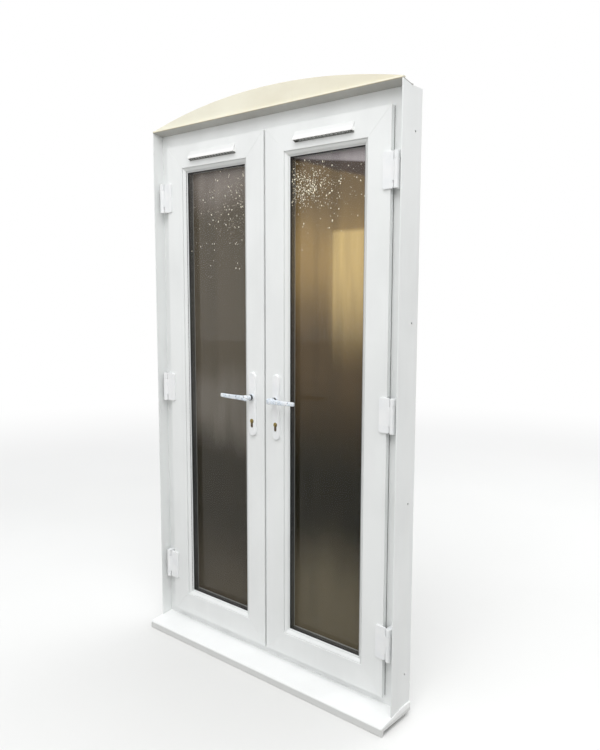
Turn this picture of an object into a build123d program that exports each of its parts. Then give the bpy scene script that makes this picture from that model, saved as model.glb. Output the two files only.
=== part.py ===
"""
Pair of outward-opening french doors in white plastic sections, with their frame, cill,
reveal trims and the arched infill panel above the head.

X runs across the doors from their centre line, Y runs indoors from the outer face of the
frame, and Z runs up from the bed of the cill. The doors are modelled shut and unlocked.
"""

from build123d import *
import os

os.makedirs("parts", exist_ok=True)

# Outer frame
set_width = 1190.0
set_top = 2077.0
cill_height = 30.0
frame_depth = 70.0
frame_body = 62.0
threshold_body = 40.0
upstand = 20.0
upstand_depth = 20.0
section_wall = 3.0
front_chamber = 12.0

# Leaves
frame_overlap = 8.0
centre_gap = 8.5
leaf_front = -22.0
leaf_depth = 70.0
flange_thickness = 18.0
flange_width = 20.0
stile_flat = 69.0
glazing_leg = 18.0
leg_drop = 13.4
leg_step = 1.5
leg_rear = 17.0
leg_round = 2.0
leg_lip = 1.2
groove_width = 16.0
groove_depth = 4.0
groove_wall = 4.0

# Glazing
glass_bite = 13.0
pane_thickness = 4.0
pane_spacing = 20.0
gasket_thickness = 2.0
gasket_lip = 1.5
spacer_inset = 3.0
spacer_width = 8.0
bead_nose = 10.0
glazing_clearance = 0.2

# Seals
seal_clearance = 0.3
seal_margin = 1.0

# Steel inside the sections
steel_thickness = 1.5
steel_clearance = 0.3

# Hinges
hinge_offset = 27.0
hinge_stand = 6.0
hinge_height = 116.0
hinge_inset = 200.0
barrel_radius = 9.6
pin_radius = 5.0
pin_clearance = 0.05
cap_share = 24.0
joint_gap = 0.4
flag_width = 41.0
flag_overhang = 14.0
flag_thickness = 6.5
flag_corner = 7.0
web_top = 30.0
web_bottom = 34.0
web_thickness = 6.0
hinge_plate_reach = 13.0

# Handles and locks
backset = 36.0
handle_height = 1045.0
key_distance = 92.0
plate_height = 245.0
plate_width = 34.0
plate_thickness = 9.0
plate_above = 95.0
lever_reach = 130.0
lever_standoff = 37.0
lever_height = 21.0
lever_tip_height = 17.0
lever_depth = 12.0
lever_tip_depth = 8.0
lever_bow = 2.5
lever_edge = 2.5
neck_radius = 9.5
neck_seat = 6.0
running_clearance = 0.1
spindle_size = 8.0
spindle_hole = 6.5
cylinder_radius = 8.5
cylinder_leg = 10.0
cylinder_drop = 24.5
cylinder_proud = 1.5
plug_radius = 6.5
key_slot_width = 1.6
key_slot_height = 8.0
key_slot_depth = 8.0
cam_radius = 14.0
cam_width = 9.0
case_depth = 76.0
case_above = 48.0
case_below = 58.0
strip_thickness = 3.0
strip_end_gap = 235.0
dead_bolt_height = 20.0
dead_bolt_drop = 46.0
latch_height = 24.0
latch_rise = 28.0
latch_travel = 9.2
bolt_clearance = 0.3
keep_thickness = 2.0
keep_margin = 12.0

# Trickle vents
vent_length = 252.0
vent_drop = 29.0
vent_height = 37.0
vent_lip_height = 10.0
vent_proud = 16.0
vent_wall = 1.8
vent_slot_length = 105.0
vent_slot_height = 12.0
vent_slats = 16
controller_height = 30.0
controller_depth = 8.0
flap_thickness = 3.0

# Cill
cill_horn = 5.0
cill_front = -110.0
cill_fall = 14.0
cill_nose_drop = 15.0
cill_leg = 12.0
cill_webs = 4
cill_cap = 3.0

# Reveal, soffit and arched panel
reveal_depth = 48.6
opening_gap = 2.0
trim_thickness = 3.0
soffit_rise = 9.5
panel_recess = 5.0
panel_thickness = 10.0
arch_foot = 7.0
arch_rise = 70.0
lip_height = 8.5
lip_thickness = 1.8

# Fixings through the jambs
fixing_radius = 4.0
middle_fixings = 600.0
outer_fixings = 1800.0
fixing_y = 34.0

# Places worked out from the sizes above
half_width = set_width / 2
leaf_rear = leaf_front + leaf_depth
flange_rear = leaf_front + flange_thickness
lock_y = (leaf_front + leaf_rear) / 2
leaf_edge = half_width - frame_body + frame_overlap
leaf_lock_edge = centre_gap / 2
leaf_top = set_top - frame_body + frame_overlap
leaf_bottom = cill_height + threshold_body - frame_overlap
leaf_section = flange_width + stile_flat
leaf_middle = (leaf_edge + leaf_lock_edge) / 2
body_edge = leaf_lock_edge + flange_width
upstand_front = frame_depth - upstand_depth
head_edge = set_top - frame_body
threshold_edge = cill_height + threshold_body
jamb_edge = half_width - frame_body
mullion_edge = leaf_lock_edge + frame_overlap
glass_edge = leaf_section + glazing_leg - glass_bite
pane_front = leaf_front + leg_rear + gasket_thickness
inner_pane_front = pane_front + pane_thickness + pane_spacing
bead_front = inner_pane_front + pane_thickness + glazing_clearance
handle_x = body_edge + backset
key_height = handle_height - key_distance
hinge_x = leaf_edge + hinge_offset
hinge_y = leaf_front - hinge_stand
strip_bottom = leaf_bottom + strip_end_gap
strip_top = leaf_top - strip_end_gap
vent_top = leaf_top - vent_drop
vent_bottom = vent_top - vent_height
vent_lip = vent_bottom + vent_lip_height
cill_width = set_width + 2 * cill_horn
cill_nose_top = cill_height - cill_fall
cill_nose_bottom = -cill_nose_drop
opening_half = half_width + opening_gap
soffit_front = set_top + soffit_rise
arch_spring = soffit_front + arch_foot
arch_crown = arch_spring + arch_rise
hinge_heights = [
    leaf_top - hinge_inset,
    (leaf_top + leaf_bottom) / 2,
    leaf_bottom + hinge_inset,
]


def hollow_section(place, outline, chambers):
    """Closed section with its chambers, drawn across and through the depth of a bar"""
    with BuildSketch(place) as section:
        with BuildLine():
            Polyline(*outline, close=True)
        make_face()
        for low_x, low_y, high_x, high_y in chambers:
            with Locations(((low_x + high_x) / 2, (low_y + high_y) / 2)):
                Rectangle(high_x - low_x, high_y - low_y, mode=Mode.SUBTRACT)
    return section.sketch


def bar_places(left, right, bottom, top, front):
    """Plane and length of the four bars round a rectangle, each starting at its outer edge"""
    return {
        "left": (Plane((left, front, bottom), x_dir=(1, 0, 0), z_dir=(0, 0, 1)), top - bottom),
        "right": (Plane((right, front, top), x_dir=(-1, 0, 0), z_dir=(0, 0, -1)), top - bottom),
        "bottom": (Plane((right, front, bottom), x_dir=(0, 0, 1), z_dir=(-1, 0, 0)), right - left),
        "top": (Plane((left, front, top), x_dir=(0, 0, -1), z_dir=(1, 0, 0)), right - left),
    }


def start_mitre(place):
    """Plane of the 45 degree cut at the start of a bar"""
    return Plane(place.origin, x_dir=place.y_dir, z_dir=place.z_dir - place.x_dir)


def end_mitre(place, length):
    """Plane of the 45 degree cut at the end of a bar"""
    corner = place.origin + place.z_dir * length
    return Plane(corner, x_dir=place.y_dir, z_dir=-place.z_dir - place.x_dir)


def mitred_bar(place, length, outline, chambers, clearance=0.0):
    """Bar of hollow section, cut at 45 degrees at both ends"""
    with BuildPart() as bar:
        extrude(hollow_section(place, outline, chambers), amount=length)
        split(bisect_by=start_mitre(place).offset(clearance))
        split(bisect_by=end_mitre(place, length).offset(clearance))
    return bar.part


def rectangle_ring(plane, outer, inner):
    """Flat ring between two rectangles, each given as left, right, bottom and top"""
    with BuildSketch(plane) as ring:
        for (left, right, bottom, top), mode in ((outer, Mode.ADD), (inner, Mode.SUBTRACT)):
            with Locations(((left + right) / 2, (bottom + top) / 2)):
                Rectangle(right - left, top - bottom, mode=mode)
    return ring.sketch


def facing_plane(y):
    """Plane facing indoors at a depth, with X across and Z up"""
    return Plane((0, y, 0), x_dir=(1, 0, 0), z_dir=(0, -1, 0))


def slab(low, high):
    """Rectangular block between two corners, kept out of the part that is open"""
    size = [high[i] - low[i] for i in range(3)]
    middle = [(high[i] + low[i]) / 2 for i in range(3)]
    return Box(*size, mode=Mode.PRIVATE).moved(Location(middle))


def mirrored_slab(side, low, high):
    """Block between two corners on the right, or its mirror image on the left"""
    if side > 0:
        return slab(low, high)
    return slab((-high[0], low[1], low[2]), (-low[0], high[1], high[2]))


def euro_profile(x, y, clearance):
    """Outline of the lock cylinder, round at the top with a leg below"""
    leg_half = cylinder_leg / 2 + clearance
    leg_length = cylinder_drop - cylinder_leg / 2
    with BuildSketch(facing_plane(y)) as profile:
        with Locations((x, key_height)):
            Circle(cylinder_radius + clearance)
        with Locations((x, key_height - leg_length / 2)):
            Rectangle(2 * leg_half, leg_length)
        with Locations((x, key_height - leg_length)):
            Circle(leg_half)
    return profile.sketch


# Frame bars
frame_outline = [
    (0, 0),
    (frame_body, 0),
    (frame_body, upstand_front),
    (frame_body + upstand, upstand_front),
    (frame_body + upstand, frame_depth),
    (0, frame_depth),
]
chamber_end = frame_body - section_wall
main_front = 2 * section_wall + front_chamber
rear_front = upstand_front + section_wall
frame_chambers = [
    (section_wall, section_wall, chamber_end, section_wall + front_chamber),
    (section_wall, main_front, chamber_end, upstand_front),
    (section_wall, rear_front, frame_body + upstand - section_wall, frame_depth - section_wall),
]
frame_places = bar_places(-half_width, half_width, cill_height, set_top, 0)
jamb_middle = (leaf_top + leaf_bottom) / 2
jamb_fixings = [
    jamb_middle + side * spacing / 2 for spacing in (middle_fixings, outer_fixings) for side in (-1, 1)
]

with BuildPart() as frame_head:
    add(mitred_bar(*frame_places["top"], frame_outline, frame_chambers))
frame_head.part.label = "frame_head"
export_step(frame_head.part, "parts/frame_head.step")

for side_name, side in (("left", -1), ("right", 1)):
    place, length = frame_places[side_name]
    mitre = end_mitre(place, length) if side < 0 else start_mitre(place)
    with BuildPart() as jamb:
        extrude(hollow_section(place, frame_outline, frame_chambers), amount=length)
        split(bisect_by=mitre)
        with BuildSketch(Plane.YZ.offset(side * half_width)):
            with Locations(*[(fixing_y, height) for height in jamb_fixings]):
                Circle(fixing_radius)
        extrude(amount=-side * frame_body, mode=Mode.SUBTRACT)
    jamb.part.label = f"frame_{side_name}_jamb"
    export_step(jamb.part, f"parts/frame_{side_name}_jamb.step")

threshold_outline = [
    (0, 0),
    (threshold_body, 0),
    (threshold_body, upstand_front),
    (threshold_body + upstand, upstand_front),
    (threshold_body + upstand, frame_depth),
    (0, frame_depth),
]
threshold_end = threshold_body - section_wall
threshold_chambers = [
    (section_wall, section_wall, threshold_end, section_wall + front_chamber),
    (section_wall, main_front, threshold_end, upstand_front),
    (section_wall, rear_front, threshold_body + upstand - section_wall, frame_depth - section_wall),
]
with BuildPart() as frame_threshold:
    threshold_place = Plane((jamb_edge, 0, cill_height), x_dir=(0, 0, 1), z_dir=(-1, 0, 0))
    extrude(hollow_section(threshold_place, threshold_outline, threshold_chambers), amount=2 * jamb_edge)
    for side in (-1, 1):
        low = (jamb_edge - upstand, upstand_front, cill_height - 1)
        add(
            mirrored_slab(side, low, (jamb_edge + 1, frame_depth + 1, leaf_bottom + upstand * 2)),
            mode=Mode.SUBTRACT,
        )
frame_threshold.part.label = "frame_threshold"
export_step(frame_threshold.part, "parts/frame_threshold.step")


def steel_channel(place, low_x, low_y, high_x, high_y, start, length):
    """Bent steel channel standing in a chamber, open towards the outer edge of its bar"""
    outline = [
        (low_x, low_y),
        (high_x, low_y),
        (high_x, high_y),
        (low_x, high_y),
        (low_x, high_y - steel_thickness),
        (high_x - steel_thickness, high_y - steel_thickness),
        (high_x - steel_thickness, low_y + steel_thickness),
        (low_x, low_y + steel_thickness),
    ]
    shifted = Plane(place.origin + place.z_dir * start, x_dir=place.x_dir, z_dir=place.z_dir)
    extrude(hollow_section(shifted, outline, []), amount=length)


with BuildPart() as frame_steel:
    steel_low = section_wall + steel_clearance
    steel_front = main_front + steel_clearance
    steel_rear = upstand_front - steel_clearance
    for name in ("left", "right", "top"):
        place, length = frame_places[name]
        end_space = frame_body + upstand
        steel_channel(
            place, steel_low, steel_front, chamber_end - steel_clearance, steel_rear,
            end_space, length - 2 * end_space,
        )
    steel_channel(
        threshold_place, steel_low, steel_front, threshold_end - steel_clearance, steel_rear,
        end_space, 2 * jamb_edge - 2 * end_space,
    )
    for side in (-1, 1):
        with BuildSketch(Plane.YZ.offset(side * half_width)):
            with Locations(*[(fixing_y, height) for height in jamb_fixings]):
                Circle(fixing_radius)
        extrude(amount=-side * frame_body, mode=Mode.SUBTRACT)
frame_steel.part.label = "frame_steel"
export_step(frame_steel.part, "parts/frame_steel.step")

# Slim fixed mullion behind the meeting edges of the leaves, notched over the upstands at its ends
cover_half = mullion_edge + upstand
mullion_outline = [
    (-mullion_edge, 0),
    (mullion_edge, 0),
    (mullion_edge, upstand_front),
    (cover_half, upstand_front),
    (cover_half, frame_depth),
    (-cover_half, frame_depth),
    (-cover_half, upstand_front),
    (-mullion_edge, upstand_front),
]
nose_half = mullion_edge - section_wall
mullion_chambers = [
    (-nose_half, section_wall, nose_half, upstand_front),
    (section_wall - cover_half, rear_front, cover_half - section_wall, frame_depth - section_wall),
]
latch_z = handle_height + latch_rise
dead_bolt_z = handle_height - dead_bolt_drop
case_half = groove_width / 2 - bolt_clearance
latch_half = case_half / 2 + bolt_clearance
keep_hole_half = latch_half + bolt_clearance
with BuildPart() as centre_mullion:
    mullion_place = Plane.XY.offset(threshold_edge)
    mullion_section = hollow_section(mullion_place, mullion_outline, mullion_chambers)
    extrude(mullion_section, amount=head_edge - threshold_edge)
    for low_z, high_z in (
        (threshold_edge - 1, threshold_edge + upstand),
        (head_edge - upstand, head_edge + 1),
    ):
        low = (-cover_half - 1, upstand_front, low_z)
        add(slab(low, (cover_half + 1, frame_depth + 1, high_z)), mode=Mode.SUBTRACT)
    bolt_hole_half = dead_bolt_height / 2 + bolt_clearance
    low = (-mullion_edge - 1, lock_y - keep_hole_half, dead_bolt_z - bolt_hole_half)
    high = (mullion_edge + 1, lock_y + keep_hole_half, dead_bolt_z + bolt_hole_half)
    add(slab(low, high), mode=Mode.SUBTRACT)
centre_mullion.part.label = "centre_mullion"
export_step(centre_mullion.part, "parts/centre_mullion.step")

# Keeps on both sides of the mullion, each with a hole for the dead bolt and a slot for the latch
with BuildPart() as lock_keeps:
    for side in (-1, 1):
        keep_edge = mullion_edge + keep_thickness
        keep_half = lock_y - seal_margin
        keep_low = dead_bolt_z - dead_bolt_height / 2 - keep_margin
        keep_high = latch_z + latch_height / 2 + keep_margin
        add(mirrored_slab(
            side,
            (mullion_edge, lock_y - keep_half, keep_low),
            (keep_edge, lock_y + keep_half, keep_high),
        ))
        add(
            mirrored_slab(
                side,
                (mullion_edge - 1, lock_y - keep_hole_half, dead_bolt_z - bolt_hole_half),
                (keep_edge + 1, lock_y + keep_hole_half, dead_bolt_z + bolt_hole_half),
            ),
            mode=Mode.SUBTRACT,
        )
        slot_half = latch_height / 2 + bolt_clearance
        add(
            mirrored_slab(
                side,
                (mullion_edge - 1, lock_y - keep_half - 1, latch_z - slot_half),
                (keep_edge + 1, lock_y + keep_hole_half, latch_z + slot_half),
            ),
            mode=Mode.SUBTRACT,
        )
lock_keeps.part.label = "lock_keeps"
export_step(lock_keeps.part, "parts/lock_keeps.step")

# Seals on the frame and the mullion, between their upstands and the backs of the leaves
with BuildPart() as frame_seal:
    seal_reach = frame_overlap - 2 * seal_margin
    low_z = leaf_bottom + flange_width + seal_margin
    high_z = leaf_top - flange_width - seal_margin
    for side in (-1, 1):
        low_x = body_edge + seal_margin
        high_x = leaf_edge - flange_width - seal_margin
        outer_low, outer_high = sorted((side * low_x, side * high_x))
        inner_low, inner_high = sorted((side * (low_x + seal_reach), side * (high_x - seal_reach)))
        extrude(
            rectangle_ring(
                facing_plane(upstand_front),
                (outer_low, outer_high, low_z, high_z),
                (inner_low, inner_high, low_z + seal_reach, high_z - seal_reach),
            ),
            amount=upstand_front - leaf_rear - seal_clearance,
        )
frame_seal.part.label = "frame_seal"
export_step(frame_seal.part, "parts/frame_seal.step")

# Cill with its nose, chambers and end caps
cill_slope = (cill_height - cill_nose_top) / -(cill_front + cill_leg / 2)
cill_outline = [
    (frame_depth, 0),
    (frame_depth, cill_height),
    (0, cill_height),
    (cill_front + cill_leg / 2, cill_nose_top),
    (cill_front, cill_nose_top - cill_leg / 2),
    (cill_front, cill_nose_bottom),
    (cill_front + cill_leg, cill_nose_bottom),
    (cill_front + cill_leg, 0),
]


def cill_surface(y):
    """Height of the top of the cill at a depth"""
    return cill_height + min(y, 0) * cill_slope


with BuildPart() as cill:
    with BuildSketch(Plane.YZ.offset(cill_cap - cill_width / 2)):
        with BuildLine():
            Polyline(*cill_outline, close=True)
        make_face()
        pitch = (frame_depth - cill_front - cill_leg - section_wall) / cill_webs
        for web in range(cill_webs):
            low_y = cill_front + cill_leg + section_wall + web * pitch
            high_y = low_y + pitch - section_wall
            points = [
                (low_y, section_wall),
                (high_y, section_wall),
                (high_y, cill_surface(high_y) - section_wall),
                (low_y, cill_surface(low_y) - section_wall),
            ]
            with BuildLine():
                Polyline(*points, close=True)
            make_face(mode=Mode.SUBTRACT)
        with Locations((cill_front + cill_leg / 2, (cill_nose_bottom + cill_nose_top) / 2 - 1)):
            Rectangle(
                cill_leg - 2 * section_wall,
                cill_nose_top - cill_nose_bottom - cill_leg,
                mode=Mode.SUBTRACT,
            )
    extrude(amount=cill_width - 2 * cill_cap)
    fillet(cill.edges().filter_by(Axis.X).group_by(Axis.Y)[0], radius=section_wall / 2)
cill.part.label = "cill"
export_step(cill.part, "parts/cill.step")

with BuildPart() as cill_end_caps:
    for start in (-cill_width / 2, cill_width / 2 - cill_cap):
        with BuildSketch(Plane.YZ.offset(start)):
            with BuildLine():
                Polyline(*cill_outline, close=True)
            make_face()
        extrude(amount=cill_cap)
    fillet(cill_end_caps.edges().filter_by(Axis.X).group_by(Axis.Y)[0], radius=section_wall / 2)
cill_end_caps.part.label = "cill_end_caps"
export_step(cill_end_caps.part, "parts/cill_end_caps.step")

# Flat trims over the sides of the reveal
with BuildPart() as reveal_trims:
    for side in (-1, 1):
        with BuildSketch(Plane.YZ.offset(side * (opening_half - trim_thickness))):
            with BuildLine():
                Polyline(
                    (0, cill_surface(0) + seal_clearance),
                    (-reveal_depth, cill_surface(-reveal_depth) + seal_clearance),
                    (-reveal_depth, soffit_front - seal_clearance),
                    (0, set_top - seal_clearance),
                    close=True,
                )
            make_face()
        extrude(amount=side * trim_thickness)
reveal_trims.part.label = "reveal_trims"
export_step(reveal_trims.part, "parts/reveal_trims.step")

# Sloping trim under the arched panel, with a foot on top of the head
soffit_slope = (soffit_front - set_top) / reveal_depth
trim_front = -reveal_depth + lip_thickness + seal_clearance
with BuildPart() as soffit_trim:
    with BuildSketch(Plane.YZ.offset(-opening_half)):
        with BuildLine():
            Polyline(
                (0, set_top),
                (trim_front, set_top - trim_front * soffit_slope),
                (trim_front, set_top - trim_front * soffit_slope + trim_thickness),
                (0, set_top + trim_thickness),
                (section_wall * 4, set_top + trim_thickness),
                (section_wall * 4, set_top),
                close=True,
            )
        make_face()
    extrude(amount=2 * opening_half)
soffit_trim.part.label = "soffit_trim"
export_step(soffit_trim.part, "parts/soffit_trim.step")

# Arched panel that fills the head of the opening, with a drip lip along its foot
panel_front = -reveal_depth + panel_recess
panel_foot = set_top - trim_front * soffit_slope + trim_thickness + seal_clearance
with BuildPart() as arch_panel:
    with BuildSketch(facing_plane(panel_front + panel_thickness)):
        with BuildLine():
            Line((-opening_half, panel_foot), (opening_half, panel_foot))
            Line((opening_half, panel_foot), (opening_half, arch_spring))
            ThreePointArc((opening_half, arch_spring), (0, arch_crown), (-opening_half, arch_spring))
            Line((-opening_half, arch_spring), (-opening_half, panel_foot))
        make_face()
    extrude(amount=panel_thickness)
    with BuildSketch(Plane.YZ.offset(-opening_half)):
        with BuildLine():
            Polyline(
                (-reveal_depth, soffit_front),
                (-reveal_depth + lip_thickness, soffit_front),
                (-reveal_depth + lip_thickness, panel_foot),
                (panel_front, panel_foot),
                (panel_front, soffit_front + lip_height),
                (-reveal_depth, soffit_front + lip_height - lip_thickness),
                close=True,
            )
        make_face()
    extrude(amount=2 * opening_half)
    with BuildSketch(facing_plane(0)):
        with BuildLine():
            ThreePointArc((-opening_half, arch_spring), (0, arch_crown), (opening_half, arch_spring))
            Polyline(
                (opening_half, arch_spring),
                (opening_half, arch_crown + 1),
                (-opening_half, arch_crown + 1),
                (-opening_half, arch_spring),
            )
        make_face()
    extrude(amount=reveal_depth + 1, mode=Mode.SUBTRACT)
arch_panel.part.label = "arch_panel"
export_step(arch_panel.part, "parts/arch_panel.step")

# Hinge halves on the frame: a back plate, the upper knuckle and the pin
with BuildPart() as hinge_frame_halves:
    for side in (-1, 1):
        for middle in hinge_heights:
            top = middle + hinge_height / 2
            bottom = middle - hinge_height / 2
            cap_bottom = top - cap_share
            with BuildSketch(Plane.XY.offset(cap_bottom)):
                with Locations((side * hinge_x, hinge_y)):
                    Circle(barrel_radius)
                with Locations((side * hinge_x, hinge_y / 2)):
                    Rectangle(2 * barrel_radius, -hinge_y)
            extrude(amount=cap_share)
            plate_low = hinge_x - barrel_radius
            plate_front = hinge_y + barrel_radius + joint_gap
            add(mirrored_slab(
                side, (plate_low, plate_front, bottom), (hinge_x + hinge_plate_reach, 0, top)
            ))
            with BuildSketch(Plane.XY.offset(bottom + section_wall)):
                with Locations((side * hinge_x, hinge_y)):
                    Circle(pin_radius)
            extrude(amount=hinge_height - cap_share - section_wall)
hinge_frame_halves.part.label = "hinge_frame_halves"
export_step(hinge_frame_halves.part, "parts/hinge_frame_halves.step")

# Section of the leaves, with the sculptured leg that holds the glass and the hardware groove
lock_depth = lock_y - leaf_front
sash_outline = [
    (0, 0),
    (leaf_section - 1, 0),
    (leaf_section, leg_step),
    (leaf_section + glazing_leg * 0.45, leg_drop * 0.5),
    (leaf_section + glazing_leg - leg_round, leg_drop - leg_lip),
    (leaf_section + glazing_leg, leg_drop),
    (leaf_section + glazing_leg, leg_rear),
    (leaf_section, leg_rear),
    (leaf_section, leaf_depth),
    (flange_width, leaf_depth),
    (flange_width, lock_depth + groove_width / 2),
    (flange_width + groove_depth, lock_depth + groove_width / 2),
    (flange_width + groove_depth, lock_depth - groove_width / 2),
    (flange_width, lock_depth - groove_width / 2),
    (flange_width, flange_thickness),
    (0, flange_thickness),
]
sash_chamber_low = flange_width + groove_depth + groove_wall
sash_chamber_high = leaf_section - section_wall
sash_main_rear = leaf_depth - 2 * section_wall - front_chamber
sash_chambers = [
    (section_wall, section_wall, sash_chamber_high, section_wall + front_chamber),
    (sash_chamber_low, main_front, sash_chamber_high, sash_main_rear),
    (sash_chamber_low, sash_main_rear + section_wall, sash_chamber_high, leaf_depth - section_wall),
]
bead_outline = [
    (leaf_section, bead_front - leaf_front),
    (leaf_section + glazing_leg, bead_front - leaf_front),
    (leaf_section + glazing_leg, leaf_depth - bead_nose),
    (leaf_section + bead_nose / 2, leaf_depth),
    (leaf_section, leaf_depth),
]


def leaf_ring(side, outer_inset, inner_inset, front, depth):
    """Rectangular ring inside a leaf, between two insets from its outer edges"""
    left, right = sorted((side * leaf_lock_edge, side * leaf_edge))
    outer = (left + outer_inset, right - outer_inset, leaf_bottom + outer_inset, leaf_top - outer_inset)
    inner = (left + inner_inset, right - inner_inset, leaf_bottom + inner_inset, leaf_top - inner_inset)
    extrude(rectangle_ring(facing_plane(front + depth), outer, inner), amount=depth)


def cut_case_openings(side, from_y, to_y):
    """Round hole for the spindle and shaped hole for the cylinder"""
    with BuildSketch(facing_plane(to_y)) as spindle_opening:
        with Locations((side * handle_x, handle_height)):
            Circle(spindle_hole)
    extrude(spindle_opening.sketch, amount=to_y - from_y, mode=Mode.SUBTRACT)
    cylinder_hole = euro_profile(side * handle_x, to_y, running_clearance)
    extrude(cylinder_hole, amount=to_y - from_y, mode=Mode.SUBTRACT)


def lever_arm(side, root_y, outwards):
    """Lever of a handle: a bowed, tapering arm that turns in its back plate on a round neck"""
    near = root_y + outwards * (lever_standoff - lever_depth / 2)
    far = root_y + outwards * (lever_standoff + lever_depth / 2)
    tip_near = near + outwards * (lever_depth - lever_tip_depth) / 2
    tip_far = far - outwards * (lever_depth - lever_tip_depth) / 2
    bow = outwards * lever_bow
    axis_x = side * handle_x
    hub_x = axis_x - side * lever_height / 2
    tip_x = axis_x + side * lever_reach
    middle_x = (hub_x + tip_x) / 2
    start_x = hub_x - side * lever_edge
    end_x = tip_x + side * lever_edge
    tip_start = tip_x - side * lever_tip_height / 2
    top = handle_height + lever_height / 2
    bottom = handle_height - lever_height / 2
    tip_top = handle_height + lever_tip_height / 2
    tip_bottom = handle_height - lever_tip_height / 2
    with BuildPart() as lever:
        with BuildSketch(Plane.XY.offset(bottom - lever_height)):
            with BuildLine():
                Line((start_x, near), (start_x, far))
                ThreePointArc((start_x, far), (middle_x, (far + tip_far) / 2 + bow), (end_x, tip_far))
                Line((end_x, tip_far), (end_x, tip_near))
                ThreePointArc((end_x, tip_near), (middle_x, (near + tip_near) / 2 + bow), (start_x, near))
            make_face()
        extrude(amount=3 * lever_height)
        with BuildSketch(facing_plane(max(near, far) + 2 * lever_bow)):
            with BuildLine():
                ThreePointArc((axis_x, bottom), (hub_x, handle_height), (axis_x, top))
                Line((axis_x, top), (tip_start, tip_top))
                ThreePointArc((tip_start, tip_top), (tip_x, handle_height), (tip_start, tip_bottom))
                Line((tip_start, tip_bottom), (axis_x, bottom))
            make_face()
        extrude(amount=lever_depth + 4 * lever_bow, mode=Mode.INTERSECT)
        rims = lever.faces().sort_by(Axis.Y)
        chamfer(rims[0].edges() + rims[-1].edges(), length=lever_edge)
        neck_start = root_y - outwards * neck_seat
        neck_end = near + outwards * lever_depth / 2
        with BuildSketch(facing_plane(max(neck_start, neck_end))):
            with Locations((axis_x, handle_height)):
                Circle(neck_radius)
        extrude(amount=abs(neck_end - neck_start))
    return lever.part


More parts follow.
